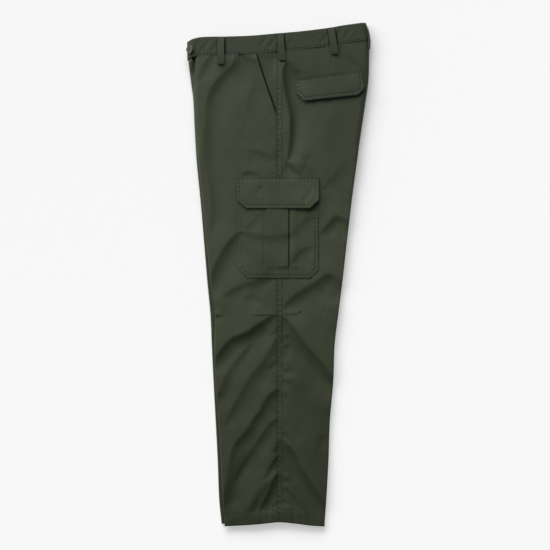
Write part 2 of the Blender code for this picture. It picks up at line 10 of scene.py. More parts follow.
import bmesh
import bpy
import numpy as np
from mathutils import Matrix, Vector


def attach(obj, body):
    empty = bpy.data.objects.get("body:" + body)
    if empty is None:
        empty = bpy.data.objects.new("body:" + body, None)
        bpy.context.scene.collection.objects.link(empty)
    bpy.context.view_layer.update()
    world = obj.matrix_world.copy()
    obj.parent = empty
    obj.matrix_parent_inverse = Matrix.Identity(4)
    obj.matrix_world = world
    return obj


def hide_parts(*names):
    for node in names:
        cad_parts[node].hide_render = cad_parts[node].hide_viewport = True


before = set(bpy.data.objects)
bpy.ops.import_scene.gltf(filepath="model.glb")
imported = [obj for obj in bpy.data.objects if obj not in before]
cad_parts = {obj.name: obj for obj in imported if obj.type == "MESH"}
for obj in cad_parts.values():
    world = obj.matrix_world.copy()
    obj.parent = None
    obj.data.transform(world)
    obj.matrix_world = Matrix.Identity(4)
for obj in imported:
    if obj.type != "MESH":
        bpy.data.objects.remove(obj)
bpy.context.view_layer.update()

# ------------------------------------------------
# The left leg's front and back panels: cotton twill, joined by a felled side seam and folded along the
# front and seat edges. They lie on top, so they carry all the creases. Each panel is a wall of cloth,
# laid point by point over the pile and then thickened inward.
# ------------------------------------------------

CLOTH = 0.0012
SEAM_GAP = 0.0003
WAIST_GAP = 0.0005
LEG_GAP = 0.0010
CROTCH_Y = 0.262
CROTCH_BLEND = 0.040
EDGE_ROUND = 1.25  # a fold's width, in its half heights
EDGE_FULLNESS = 0.0030  # the least height that a crease leaves the fold over its middle,
EDGE_FALL = 0.30  # which falls off inward at this slope
EDGE_SOFTNESS = 0.0010
CROWN_DROP = 0.20  # the pile is this share lower at its edges than down its middle
MOUTH_DROP = 0.04  # and lower again where the waist is open
MOUTH_REACH = 0.070
BAND_WIDTH = 0.038
SIDE_SEAM_X = -0.0032
KNEE_DART_Y = -0.0860
BACK_DART_X = 0.1133
BACK_DART_Y = 0.4320
MOUTH_GAPE = 0.0017
HEM_TURNUP = 0.0275  # the hem is folded up inside and sewn this far above its edge
FELL_WIDTH = 0.0115  # the side seam's felled strip, on the back panel
SEAM_ROWS = (0.30, 0.92)  # the rows of stitches along the felled strip, as shares of its width
DASH_PITCH = 0.0071  # stitches pull the cloth in at this pitch

# The folded edges of the upper and lower leg, and the pile's height, from hem to waist.
Station = namedtuple("Station", "y front seat under_front under_seat height")
STATIONS = [Station(*row) for row in (
    (-0.536, -0.1161, 0.0993, -0.1226, 0.0958, 0.0108),
    (-0.485, -0.1204, 0.1029, -0.1278, 0.0994, 0.0122),
    (-0.399, -0.1243, 0.1077, -0.1311, 0.1041, 0.0132),
    (-0.313, -0.1292, 0.1107, -0.1356, 0.1072, 0.0138),
    (-0.227, -0.1365, 0.1181, -0.1402, 0.1144, 0.0142),
    (-0.152, -0.1380, 0.1208, -0.1438, 0.1168, 0.0147),
    (-0.087, -0.1370, 0.1284, -0.1466, 0.1246, 0.0152),
    (-0.018, -0.1462, 0.1372, -0.1531, 0.1336, 0.0157),
    (0.074, -0.1559, 0.1475, -0.1608, 0.1443, 0.0172),
    (0.160, -0.1638, 0.1576, -0.1681, 0.1546, 0.0192),
    (0.246, -0.1731, 0.1692, -0.1765, 0.1673, 0.0216),
    (0.311, -0.1797, 0.1784, -0.1804, 0.1774, 0.0230),
    (0.375, -0.1826, 0.1879, -0.1834, 0.1869, 0.0235),
    (0.418, -0.1815, 0.1937, -0.1890, 0.1929, 0.0235),
    (0.468, -0.1795, 0.1950, -0.1946, 0.1944, 0.0230),
    (0.545, -0.1795, 0.1950, -0.1946, 0.1944, 0.0220),
)]

# Lines across the pile, from front to seat.
LinePoint = namedtuple("LinePoint", "x y")


def line_of(*places):
    return [LinePoint(x, y) for x, y in places]


WAIST_SEAM = line_of(
    (-0.1963, 0.4612), (-0.1840, 0.4670), (-0.1640, 0.4710), (-0.1150, 0.4719), (-0.0613, 0.4734),
    (-0.0032, 0.4784), (0.0462, 0.4827), (0.1064, 0.4902), (0.1430, 0.4966), (0.1967, 0.5040),
)
HEM = line_of(
    (-0.1161, -0.5417), (-0.0828, -0.5400), (-0.0398, -0.5368), (0.0010, -0.5329), (0.0355, -0.5357),
    (0.0677, -0.5400), (0.0989, -0.5422),
)
# The slant hand-pocket mouth, from the side seam up to the waist seam.
HAND_POCKET_MOUTH = line_of(
    (-0.0034, 0.3370), (-0.0118, 0.3623), (-0.0226, 0.3924), (-0.0355, 0.4311), (-0.0484, 0.4730),
)

# The cargo pocket and its flap, whose edges mark the panels under them.
CARGO_POCKET = line_of(
    (-0.0871, 0.1955), (-0.0871, 0.0140), (-0.0677, -0.0075), (0.0677, -0.0082), (0.0856, 0.0097),
    (0.0856, 0.1955),
)
CARGO_FLAP = line_of(
    (-0.0897, 0.2064), (-0.0892, 0.1610), (-0.0688, 0.1419), (0.0667, 0.1419), (0.0860, 0.1602),
    (0.0866, 0.2079),
)

# The creases of the upper leg, in millimetres. Each is a soft roll along a line: a bank drops from its crown
# towards the hem, and beyond it the cloth comes back up. bank is half the bank's width and rise the way back
# up; start and end are the lengths over which the crease grows from a point and dies out again.
Crease = namedtuple("Crease", "where depth bank rise start end line")
CREASES_MM = (
    ("fly", 4.4, 6, 16, 22, 60, ((-139, 476), (-160, 444), (-174, 408))),
    ("hip", 6.8, 8, 26, 24, 190, ((-86, 474), (-95, 448), (-117, 427), (-139, 399), (-149, 371),
     (-153, 321), (-156, 289), (-154, 246), (-141, 160), (-147, 85))),
    ("hip, short", 1.8, 5, 12, 20, 24, ((-106, 460), (-118, 447), (-130, 432))),
    ("beside the mouth", 3.2, 9, 22, 70, 70, ((-48, 414), (-66, 358), (-61, 332), (-35, 289))),
    ("seat", 13.4, 4.8, 21, 55, 120, ((16, 458), (12, 437), (13, 412), (17, 386), (23, 360), (27, 335),
     (27, 300), (24, 270), (20, 240))),
    ("seat corner", 3, 5, 12, 24, 28, ((139, 494), (147, 472), (164, 455), (182, 435))),
    ("above the cargo flap", 3.2, 8, 16, 50, 16, ((-75, 270), (-27, 255), (-6, 246))),
    ("beside the flap", 2.4, 7, 18, 40, 50, ((148, 250), (132, 225), (90, 178))),
    ("flap dimple, front", 3.4, 4.5, 9, 18, 18, ((-80, 214), (-61, 219), (-42, 213))),
    ("flap dimple, seat", 4.2, 4.5, 10, 16, 16, ((18, 242), (34, 226), (46, 212))),
    ("flap dimple, far seat", 2.4, 4, 9, 12, 14, ((50, 252), (60, 231))),
    ("flap wrinkle", 1.3, 3, 8, 14, 14, ((46, 158), (60, 172), (72, 192))),
    ("flap wrinkle, front", 1.1, 3, 8, 12, 14, ((-30, 196), (-44, 184), (-52, 168))),
    ("cargo, seat side", 5.6, 6.5, 18, 30, 40, ((172, 80), (156, 102), (141, 117), (124, 121), (107, 105),
     (88, 84))),
    ("across the pocket", 3, 7, 16, 30, 50, ((83, 126), (59, 117), (42, 98), (25, 85), (-29, 79),
     (-86, 92))),
    ("pocket, low", 3.4, 6, 14, 20, 30, ((74, 59), (53, 53), (38, 38), (26, 23))),
    ("pleat's foot", 1.6, 3, 8, 10, 12, ((21, 16), (-3, 16))),
    ("pocket, front", 1.6, 5, 10, 20, 22, ((-38, 136), (-52, 112), (-74, 98))),
    ("cargo, front side", 8, 8, 22, 50, 70, ((-78, 92), (-92, 83), (-106, 66), (-121, 42), (-136, 10),
     (-147, -24), (-158, -56))),
    ("back of the knee", 7.6, 8.5, 24, 36, 60, ((158, -56), (143, -30), (128, -15), (112, -4), (98, -8),
     (82, -20), (63, -31), (38, -47), (25, -57), (8, -73))),
    ("above the knee", 4.4, 7, 20, 40, 60, ((-12, -10), (-44, -14), (-72, -23), (-100, -35), (-126, -52))),
    ("above the knee, low", 1.8, 4, 10, 18, 18, ((-33, -61), (-46, -51), (-61, -46), (-78, -55))),
    ("knee, front dart", 1.3, 1.4, 6, 6, 24, ((-6, -86.5), (-30, -86.8), (-62, -87.2))),
    ("knee, back dart", 1.3, 1.4, 6, 6, 20, ((52, -77), (42, -82), (34, -85), (9, -85.5))),
    ("knee, front", 11.8, 9, 27, 75, 75, ((2, -86), (-20, -95), (-45, -113), (-66, -128), (-83, -135),
     (-100, -143), (-115, -158), (-131, -180), (-148, -212))),
    ("knee, seat", 12.8, 8, 26, 85, 80, ((4, -86), (18, -98), (29, -115), (42, -134), (57, -154),
     (74, -174), (94, -198), (112, -222), (121, -234), (146, -270))),
    ("shin, upper", 5.8, 7, 18, 60, 60, ((-56, -146), (-83, -180), (-102, -205), (-115, -231), (-124, -253),
     (-133, -266), (-148, -296))),
    ("shin, middle", 7.4, 9, 22, 40, 80, ((-1, -133), (-16, -167), (-35, -195), (-53, -218), (-70, -244),
     (-87, -274), (-104, -302), (-116, -330))),
    ("shin, middle, branch", 3.6, 6, 12, 14, 26, ((-1, -182), (-26, -205))),
    ("shin, long", 9.4, 8.6, 24, 30, 70, ((0, -244), (-23, -270), (-35, -293), (-51, -313), (-63, -334),
     (-82, -356), (-93, -374), (-100, -400), (-105, -432), (-111, -463), (-120, -496), (-130, -530))),
    ("shin, foot", 6, 14, 28, 70, 50, ((-66, -372), (-80, -400), (-90, -430), (-98, -462), (-108, -496))),
    ("shin, short", 6.4, 7, 18, 22, 90, ((0, -308), (-14, -321), (-34, -348), (-60, -386), (-82, -419),
     (-98, -450))),
    ("above the hem, narrow", 5, 4.2, 17, 26, 34, ((1, -386), (-12, -405), (-22, -422), (-34, -440))),
    ("above the hem, deep", 7.8, 5.8, 18, 26, 30, ((1, -424), (-9, -442), (-15, -459), (-24, -480),
     (-40, -508))),
    ("above the hem, front", 8.3, 12, 24, 60, 30, ((1, -426), (-14, -445), (-30, -463), (-47, -483),
     (-66, -512))),
    ("hem, tail", 2.4, 4, 8, 16, 12, ((-46, -478), (-51, -494), (-55, -510))),
    ("calf, start", 2.4, 4, 9, 12, 16, ((8, -341), (18, -345), (31, -360))),
    ("calf, long", 11.5, 7, 24, 50, 70, ((6, -352), (17, -366), (34, -389), (50, -421), (65, -444),
     (81, -468), (100, -500), (120, -532))),
    ("calf, short", 5.6, 5.5, 14, 24, 50, ((10, -455), (25, -468), (38, -483), (58, -512))),
    ("calf, edge", 3.4, 8, 18, 24, 40, ((108, -343), (90, -352), (86, -377), (104, -418))),
    ("calf, broad", 6, 13, 30, 90, 80, ((16, -230), (42, -285), (66, -325), (88, -385))),
    ("edge notch", 3.4, 3, 8, 8, 14, ((-138, -86), (-118, -91))),
    ("seam tuck 1", 2.2, 3.5, 8, 8, 14, ((8, -129), (27, -138))),
    ("seam tuck 2", 1.6, 3, 8, 8, 10, ((10, -154), (25, -152))),
    ("seam tuck 3", 3, 6, 12, 14, 26, ((8, -186), (43, -212))),
    ("seam tuck 4", 1.6, 3, 8, 8, 10, ((9, -207), (25, -203))),
    ("seam tuck 5", 2.2, 3.5, 8, 8, 14, ((8, -224), (29, -236))),
    ("seam tuck 6", 1.6, 3, 8, 8, 10, ((10, -259), (25, -257))),
    ("seam tuck 7", 2, 3.5, 8, 8, 12, ((9, -433), (24, -446))),
    ("seam tuck 8", 2.6, 3.5, 8, 8, 12, ((8, -481), (26, -493))),
    ("seam tuck 9", 1.8, 3, 8, 8, 10, ((-1, -369), (-14, -384))),
    ("seam tuck 10", 2.4, 3.5, 8, 8, 12, ((0, -485), (-14, -501))),
)
CREASES = [
    Crease(where, *(0.001 * np.array(sizes)), 0.001 * np.array(line)) for where, *sizes, line in CREASES_MM
]
DOWNHILL = (0.45, -0.89)
CREASE_CROWN = 0.26  # a roll's crown stands this share of its crease's depth above the cloth around it
CROWN_REACH = 1.5  # how far the crown's swell spreads, in rises
BANK_START = 0.9  # a bank starts this many half widths uphill of its line,
BANK_SHOULDER = 0.9  # is steepest on it,
BANK_TAIL = 1.5  # and flattens out slowly
BACK_UP = 1.8  # in rises, how far beyond it the cloth is back up
CREASE_POINT = 0.15  # a crease is this share of its width at its very ends
LINE_STEP = 0.004

# Ripples across sewn lines, where the cloth is eased in.
PUCKER_PITCH = 0.0108
GATHER_PITCH = 0.0086


def smooth_share(share):
    share = np.clip(share, 0.0, 1.0)
    return share * share * (3.0 - 2.0 * share)


def blend(start, end, share):
    return start + (end - start) * share


def hill(away, width):
    """A smooth hill: 1 on its top, a third at its width."""
    return np.exp(-(away / width) ** 2)


class Mark(namedtuple("Mark", "much width")):
    """What sewing does across a line: much on the line itself, fading out over the width."""

    def at(self, away):
        return self.much * hill(away, self.width)


def dashes(way):
    """From 0 to 1 and back along each stitch."""
    return 0.5 + 0.5 * np.cos(math.tau * way / DASH_PITCH)


def read_curve(rows, key, value, at):
    """Read one column of a table against another, on a smooth curve through its rows."""
    keys = np.array([getattr(row, key) for row in rows])
    values = np.array([getattr(row, value) for row in rows])
    before = np.maximum(np.arange(len(rows)) - 1, 0)
    after = np.minimum(np.arange(len(rows)) + 1, len(rows) - 1)
    slopes = (values[after] - values[before]) / (keys[after] - keys[before])
    at = np.clip(at, keys[0], keys[-1])
    index = np.clip(np.searchsorted(keys, at, side="right") - 1, 0, len(keys) - 2)
    span = keys[index + 1] - keys[index]
    share = (at - keys[index]) / span
    leave = share * (1.0 - share) ** 2 * slopes[index] * span
    arrive = share * share * (1.0 - share) * slopes[index + 1] * span
    return blend(values[index], values[index + 1], smooth_share(share)) + leave - arrive


def edge_x(column, y):
    return read_curve(STATIONS, "y", column, y)


def line_y(line, x):
    return read_curve(line, "x", "y", x)


def mouth_x(y):
    return read_curve(HAND_POCKET_MOUTH, "y", "x", y)


def outline_edges(outline):
    """Each edge of a convex outline, as its start, its end, its direction and its inward normal."""
    corners = [np.array(corner) for corner in outline]
    middle = sum(corners) / len(corners)
    for start, end in zip(corners, corners[1:] + corners[:1]):
        along = (end - start) / np.linalg.norm(end - start)
        normal = np.array((-along[1], along[0]))
        if normal.dot(middle - start) < 0.0:
            normal = -normal
        yield start, end, along, normal


def outline_place(outline, x, y):
    """How far inside a convex outline a place is, and how far round the outline its nearest edge is."""
    inside = np.full(np.shape(x), np.inf)
    way_round = np.zeros(np.shape(x))
    walked = 0.0
    for start, end, along, normal in outline_edges(outline):
        gap = (x - start[0]) * normal[0] + (y - start[1]) * normal[1]
        way = walked + (x - start[0]) * along[0] + (y - start[1]) * along[1]
        way_round = np.where(gap < inside, way, way_round)
        inside = np.minimum(inside, gap)
        walked += np.linalg.norm(end - start)
    return inside, way_round


def inside_distance(outline, x, y):
    return outline_place(outline, x, y)[0]


def under_turn(y):
    """How far a fold curls under: not at all above the crotch, where the folds close on each other."""
    return math.radians(80.0) * smooth_share((CROTCH_Y - y) / CROTCH_BLEND + 0.5)


def pile_height(x, y):
    to_mouth = line_y(WAIST_SEAM, x) + BAND_WIDTH - y
    drop = MOUTH_DROP * (1.0 - smooth_share(to_mouth / MOUTH_REACH))
    return edge_x("height", y) * (1.0 - drop)


def mid_height(x, y):
    """Where the two legs meet at an edge of the pile."""
    return pile_height(x, y) * (1.0 - CROWN_DROP) * 0.5


def bare_cover(x, y):
    """The pile's top without any crease: it rounds down to both folds."""
    front = edge_x("front", y)
    seat = edge_x("seat", y)
    across = (2.0 * x - front - seat) / (seat - front)
    return pile_height(x, y) * (1.0 - CROWN_DROP * np.minimum(1.0, np.abs(across)) ** 2.4)


def soften_line(points):
    """Points at even steps along a smooth curve through a short line's points."""
    points = np.array(points)
    ends = np.vstack([2.0 * points[0] - points[1], points, 2.0 * points[-1] - points[-2]])
    soft = []
    for a, b, c, d in zip(ends, ends[1:], ends[2:], ends[3:]):
        count = max(2, round(np.linalg.norm(c - b) / LINE_STEP))
        for step in range(count):
            t = step / count
            soft.append(0.5 * (2.0 * b + (c - a) * t + (2.0 * a - 5.0 * b + 4.0 * c - d) * t * t
                               + (3.0 * b - a - 3.0 * c + d) * t ** 3))
    soft.append(points[-1])
    return np.array(soft)


def along_line(line, x, y):
    """For places: the distance from a line, the way walked along it to the nearest point, and its length.

    The distance is positive on the side that a crease drops to.
    """
    starts = line[:-1]
    steps = line[1:] - starts
    lengths = np.linalg.norm(steps, axis=1)
    ways = np.concatenate([[0.0], np.cumsum(lengths)])
    whole = line[-1] - line[0]
    drops_left = math.copysign(1.0, -whole[1] * DOWNHILL[0] + whole[0] * DOWNHILL[1])
    nearest = np.full(x.shape, np.inf)
    away = np.zeros(x.shape)
    walked = np.zeros(x.shape)
    for start, step, length, way in zip(starts, steps, lengths, ways):
        offset_x = x - start[0]
        offset_y = y - start[1]
        share = np.clip((offset_x * step[0] + offset_y * step[1]) / length ** 2, 0.0, 1.0)
        gap = np.hypot(offset_x - share * step[0], offset_y - share * step[1])
        side = np.sign(step[0] * offset_y - step[1] * offset_x)
        closer = gap < nearest
        nearest = np.where(closer, gap, nearest)
        away = np.where(closer, gap * side * drops_left, away)
        walked = np.where(closer, way + share * length, walked)
    return away, walked, ways[-1]


def taper(share):
    share = np.clip(share, 0.0, 1.0)
    return share * (2.0 - share)


def crease_height(x, y):
    """How far the creases raise or lower the upper leg."""
    x, y = np.broadcast_arrays(np.asarray(x, float), np.asarray(y, float))
    height = np.zeros(x.shape)
    for crease in CREASES:
        line = soften_line(crease.line)
        reach = 4.5 * crease.rise
        low = line.min(axis=0) - reach
        high = line.max(axis=0) + reach
        near = (x > low[0]) & (x < high[0]) & (y > low[1]) & (y < high[1])
        if not near.any():
            continue
        away, walked, length = along_line(line, x[near], y[near])
        grown = taper(walked / crease.start) * taper((length - walked) / crease.end)
        width = crease.bank * blend(CREASE_POINT, 1.0, grown)
        rise = crease.rise * blend(2.0 * CREASE_POINT, 1.0, grown)
        from_crown = away + BANK_START * width
        past = np.maximum(0.0, from_crown)
        tail = BANK_TAIL * width
        shoulder = BANK_SHOULDER * BANK_TAIL / (BANK_SHOULDER + BANK_TAIL) * width
        fallen = tail * (1.0 - np.exp(-past / tail)) - shoulder * (1.0 - np.exp(-past / shoulder))
        fallen = fallen / (tail - shoulder) * hill(past, BACK_UP * rise)
        crown = CREASE_CROWN * hill(from_crown, CROWN_REACH * rise)
        height[near] += crease.depth * grown * (crown - fallen)
    return height


WAVE_STEEPNESS = 0.0013
rng = np.random.default_rng(11)
WAVES = [
    (rng.uniform(0.024, 0.090), rng.uniform(-0.6, 1.1), rng.uniform(0.0, math.tau)) for _ in range(28)
]


def waviness(x, y):
    """The small unevenness of cloth that has been washed and folded."""
    height = 0.0
    for length, turn, phase in WAVES:
        along = x * math.cos(turn) + y * math.sin(turn)
        height = height + WAVE_STEEPNESS * length * np.sin(math.tau * along / length + phase)
    return height


def pucker(along):
    """Uneven ripples along a sewn line."""
    drift = 0.35 * np.sin(along / 0.031) + 0.25 * np.sin(along / 0.0137 + 1.0)
    return np.cos(math.tau * along / PUCKER_PITCH + 2.2 * drift)


# The sewn relief of the panels.
FELL_LIFT = 0.0003
FELL_PUCKER = 0.00042
STITCH_GROOVE = Mark(0.00045, 0.0009)
SEAM_VALLEY = Mark(0.0004, 0.0022)
HEM_GROOVE = Mark(0.0003, 0.0011)
HEM_RIPPLE = 0.00055
HEM_RIPPLE_PITCH = 0.0150
WAIST_GATHERS = Mark(0.00042, 0.013)
FLAP_GATHERS = Mark(0.0005, 0.009)
BACK_DART = Mark(0.0009, 0.0008)
POCKET_FOOT_Y = -0.0080
FADE = 0.004


def gathers(x, drift, reach):
    """Uneven ripples where cloth is eased into a seam."""
    return np.cos(math.tau * x / GATHER_PITCH + drift * np.sin(x / reach))


def seam_relief(x, y):
    """The felled side seam, the hem's turned-up edge and the gathers under the waistband."""
    from_seam = x - SIDE_SEAM_X
    above_pocket = smooth_share((y - CARGO_FLAP[0].y) / FADE)
    bare = np.maximum(above_pocket, smooth_share((POCKET_FOOT_Y - y) / FADE))
    strip = smooth_share((from_seam + 0.0003) / 0.0006)
    strip = strip * smooth_share((FELL_WIDTH + 0.001 - from_seam) / 0.002)
    swell = hill(from_seam - 0.5 * FELL_WIDTH, 0.26 * FELL_WIDTH)
    seam = FELL_LIFT * strip + FELL_PUCKER * swell * pucker(y)
    for row in SEAM_ROWS:
        seam -= STITCH_GROOVE.at(from_seam - row * FELL_WIDTH)
    seam -= SEAM_VALLEY.at(from_seam + 0.0006) * (from_seam < 0.0) * bare
    above_hem = y - line_y(HEM, x)
    in_hem = hill(above_hem - 0.6 * HEM_TURNUP, 0.7 * HEM_TURNUP) * (0.35 + 0.65 * hill(from_seam, 0.045))
    ripple = np.cos(math.tau * (x + 0.1 * above_hem) / HEM_RIPPLE_PITCH + 1.4 * np.sin(x / 0.021))
    hem = HEM_RIPPLE * in_hem * ripple - HEM_GROOVE.at(above_hem - HEM_TURNUP)
    waist = WAIST_GATHERS.at(np.maximum(0.0, line_y(WAIST_SEAM, x) - y)) * gathers(x, 1.3, 0.023)
    waist = waist * (0.5 + 0.5 * np.sin(x / 0.017 + 0.8))
    above_flap = y - CARGO_FLAP[0].y
    by_flap = FLAP_GATHERS.at(above_flap) * (above_flap > 0.0) * gathers(x, 2.1, 0.019)
    by_flap = by_flap * smooth_share((0.092 - np.abs(x)) / 0.01)
    dart = BACK_DART.at(x - BACK_DART_X) * smooth_share((y - BACK_DART_Y) / 0.012)
    return seam * bare + hem + waist + by_flap - dart


def mouth_gape(x, y):
    """The hand pocket's mouth stands a little open: the front panel lifts along it."""
    along = smooth_share((y - HAND_POCKET_MOUTH[0].y - 0.004) / 0.02)
    along = along * smooth_share((line_y(WAIST_SEAM, x) - y) / 0.012)
    past = x - mouth_x(y)
    return MOUTH_GAPE * along * hill(np.minimum(0.0, past), 0.008) * (past < 0.0005)


def leg_face(x, y):
    """The upper leg's outer face."""
    return soft_face(x, y) + seam_relief(x, y) + mouth_gape(x, y)


def soft_face(x, y):
    """The upper leg's face without its sewn relief, for what is laid on it."""
    return bare_cover(x, y) + crease_height(x, y) + waviness(x, y)


def shell_points(edge, inward, column, seam, y, face, roundness, wedge, lift):
    """Points of an upper shell: on its round edge for columns -1 to 0, then on its way to the seam at 1."""
    turn_end = under_turn(y)
    mid = mid_height(edge, y) + lift
    width = mid * roundness / (1.0 + np.sin(turn_end))
    shoulder = edge + inward * width
    turn = blend(math.pi / 2.0, -turn_end, np.clip(-column, 0.0, 1.0))
    inside = width * (1.0 - np.cos(turn) ** wedge)
    x_round = edge + inward * inside
    x_flat = blend(shoulder, seam, np.clip(column, 0.0, 1.0))
    x = np.where(column >= 0.0, x_flat, x_round)
    at = np.where(column >= 0.0, x, shoulder)
    least = EDGE_FULLNESS - EDGE_FALL * np.abs(at - edge)  # creases leave the fold this full
    over_least = face(at, y) - mid - least
    top = mid + least + 0.5 * (over_least + np.hypot(over_least, EDGE_SOFTNESS))
    half = (top - mid) / (1.0 + np.sin(turn_end))
    rise = np.sign(turn) * half * np.abs(np.sin(turn)) ** wedge
    z = np.where(column >= 0.0, top, top - half + rise)
    return np.stack([x, np.broadcast_to(y, x.shape), z], axis=-1)


def even_steps(low, high, step):
    return np.linspace(low, high, max(2, round((high - low) / step)) + 1)


def steps_with(low, high, step, fine_places, fine_reach, fine_step):
    """Even steps from low to high, with finer ones round some places."""
    places = set(np.round(even_steps(low, high, step), 6))
    for place in fine_places:
        near = even_steps(max(low, place - fine_reach), min(high, place + fine_reach), fine_step)
        places = {p for p in places if abs(p - place) > fine_reach} | set(np.round(near, 6))
    return np.array(sorted(places))


def finish_piece(name, data, material):
    """Every piece rides on the garment's one body, and takes the finish it is given."""
    data.materials.append(material)
    data.shade_smooth()
    piece = bpy.data.objects.new(name, data)
    bpy.context.scene.collection.objects.link(piece)
    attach(piece, "root")
    return piece


def mesh_points(data):
    points = np.empty(len(data.vertices) * 3)
    data.vertices.foreach_get("co", points)
    return points.reshape(-1, 3)


def lay_wall(name, across, along, place, outward, thickness):
    """A grid of cloth put in place, faced outward and thickened inward, with its points' x and y."""
    mesh = bmesh.new()
    bmesh.ops.create_grid(mesh, x_segments=len(across) - 1, y_segments=len(along) - 1, size=0.5)
    data = bpy.data.meshes.new(name)
    mesh.to_mesh(data)
    mesh.free()
    flat = mesh_points(data)
    column = across[np.rint((flat[:, 0] + 0.5) * (len(across) - 1)).astype(int)]
    row = along[np.rint((flat[:, 1] + 0.5) * (len(along) - 1)).astype(int)]
    points = place(column, row)
    data.vertices.foreach_set("co", points.ravel())
    data.update()
    middle = data.polygons[(len(along) // 2) * (len(across) - 1) + (3 * len(across)) // 4]
    if middle.normal.dot(Vector(outward)) < 0.0:
        data.flip_normals()
    piece = finish_piece(name, data, twill)
    thicken = piece.modifiers.new("Cloth", "SOLIDIFY")
    thicken.thickness = thickness
    thicken.offset = -1.0
    return piece, points[:, 0], points[:, 1]


class Wire:
    """A socket of a finish's nodes. Sums on wires add Math nodes to the same finish."""

    def __init__(self, finish, socket):
        self.finish = finish
        self.socket = socket

    def math(self, operation, first, second):
        return self.finish.add("ShaderNodeMath", {"operation": operation}, {0: first, 1: second})

    def __add__(self, other):
        return self.math("ADD", self, other)

    __radd__ = __add__

    def __mul__(self, other):
        return self.math("MULTIPLY", self, other)

    __rmul__ = __mul__

    def __sub__(self, other):
        return self.math("SUBTRACT", self, other)

    def __rsub__(self, other):
        return self.math("SUBTRACT", other, self)

    def __pow__(self, other):
        return self.math("POWER", self, other)


class Finish:
    """A material made of nodes. add() takes a node's type, its settings, and its sockets' values or wires."""

    def __init__(self, name):
        self.material = bpy.data.materials.new(name)
        self.material.use_nodes = True
        self.tree = self.material.node_tree
        self.shader = self.tree.nodes["Principled BSDF"]

    def add(self, kind, settings, sockets, output=0):
        node = self.tree.nodes.new(kind)
        for name, value in settings.items():
            setattr(node, name, value)
        for name, value in sockets.items():
            self.plug(node.inputs[name], value)
        return Wire(self, node.outputs[output])

    def plug(self, socket, value):
        if isinstance(value, Wire):
            self.tree.links.new(value.socket, socket)
        else:
            socket.default_value = value

    def shade(self, sockets):
        for name, value in sockets.items():
            self.plug(self.shader.inputs[name], value)
        return self.material


def mix_colours(finish, share, first, second):
    """Colours are blended by a Mix node, whose colour sockets are numbers 6 and 7."""
    settings = {"data_type": "RGBA"}
    return finish.add("ShaderNodeMix", settings, {0: share, 6: first, 7: second}, output=2)


OLIVE_DARK = (0.024, 0.032, 0.013, 1.0)
OLIVE = (0.060, 0.074, 0.040, 1.0)
# The pale olive is where the cloth is worn and where light is painted on; the deep one is painted shade.
OLIVE_PALE = (0.072, 0.088, 0.050, 1.0)
OLIVE_PAINTED_SHADE = (0.009, 0.014, 0.005, 1.0)
TWILL_RIB = 0.0009  # spacing of the twill's diagonal ribs


def make_twill(name, dark, middle, pale, sheen):
    """Washed cotton twill: fine diagonal ribs, a slight nap and uneven dye, paler where it rubs and where
    light is painted on, and darker with painted shade.
    """
    finish = Finish(name)
    place = finish.add("ShaderNodeTexCoord", {}, {}, output="Object")
    dye, nap = [
        finish.add("ShaderNodeTexNoise", {},
                   {"Vector": place, "Scale": scale, "Detail": detail, "Roughness": 0.6})
        for scale, detail in ((26.0, 4.0), (420.0, 2.0))
    ]
    ribs = finish.add("ShaderNodeTexWave", {"wave_type": "BANDS", "bands_direction": "DIAGONAL"},
                      {"Vector": place, "Scale": 0.314 / TWILL_RIB, "Distortion": 1.2, "Detail": 1.0,
                       "Detail Scale": 2.0}, output="Fac")
    worn, sunk = [
        finish.add("ShaderNodeAttribute", {"attribute_name": name}, {}, output="Fac")
        for name in ("worn", "sunk")
    ]
    cloth = mix_colours(finish, 0.40 * dye + 0.30 * nap + 0.30 * ribs, dark, middle)
    # Paler for wear and painted light, then darker with painted shade.
    colour = mix_colours(finish, sunk, mix_colours(finish, worn, cloth, pale), OLIVE_PAINTED_SHADE)
    height = {"Strength": 0.35, "Distance": 0.00018, "Height": 0.7 * ribs + 0.6 * nap}
    bump = finish.add("ShaderNodeBump", {}, height, output="Normal")
    return finish.shade({
        "Base Color": colour,
        "Roughness": 0.62 + 0.12 * nap,
        "Normal": bump,
        "Specular IOR Level": 0.42,
        "Sheen Weight": sheen,
        "Sheen Roughness": 0.45,
        "Sheen Tint": (0.75, 0.82, 0.62, 1.0),
    })


twill = make_twill("olive_twill", OLIVE_DARK, OLIVE, OLIVE_PALE, 0.02)


def mark_points(piece, **shares):
    """Store shares from 0 to 1 at each point.

    One share is how much paler the cloth is, where it has rubbed and where light is painted on; the other is
    how much painted shade darkens it, where sewing draws it in and where shade falls.
    """
    for name, share in shares.items():
        attribute = piece.data.attributes.new(name, "FLOAT", "POINT")
        attribute.data.foreach_set("value", np.clip(share, 0.0, 1.0))


def painted_light_by_place(x, y):
    """Painted light: the thigh and knee are painted paler than the hip and the hem, most on the seat side
    above the knee.
    """
    seat_side = 0.16 * smooth_share((x - 0.02) / 0.07) * hill(y - 0.02, 0.16)
    return seat_side + 0.28 * hill(y - 0.06, 0.24)


# How dark painted shade makes the panels along what is sewn, under the band, towards the waist, over the hem
# and round the patches, and how pale they are along what rubs and on the creases' crowns.
SEAM_DARK = Mark(0.26, 0.0011)
SEAM_ROW_DARK = Mark(0.75, 0.0012)
HEM_ROW_DARK = Mark(0.70, 0.0011)
UNDER_BAND_DARK = Mark(0.66, 0.0024)
# Painted shade where the light falls less: darker towards the waist and over the turned-up hem.
HIP_DARK = 0.22
HEM_DARK = 0.20
ROUND_PATCH_DARK = Mark(0.28, 0.0020)
HEM_PALE = Mark(0.15, 0.003)
RIDGE_PALE = 40.0  # for each metre that a crease's crown stands up


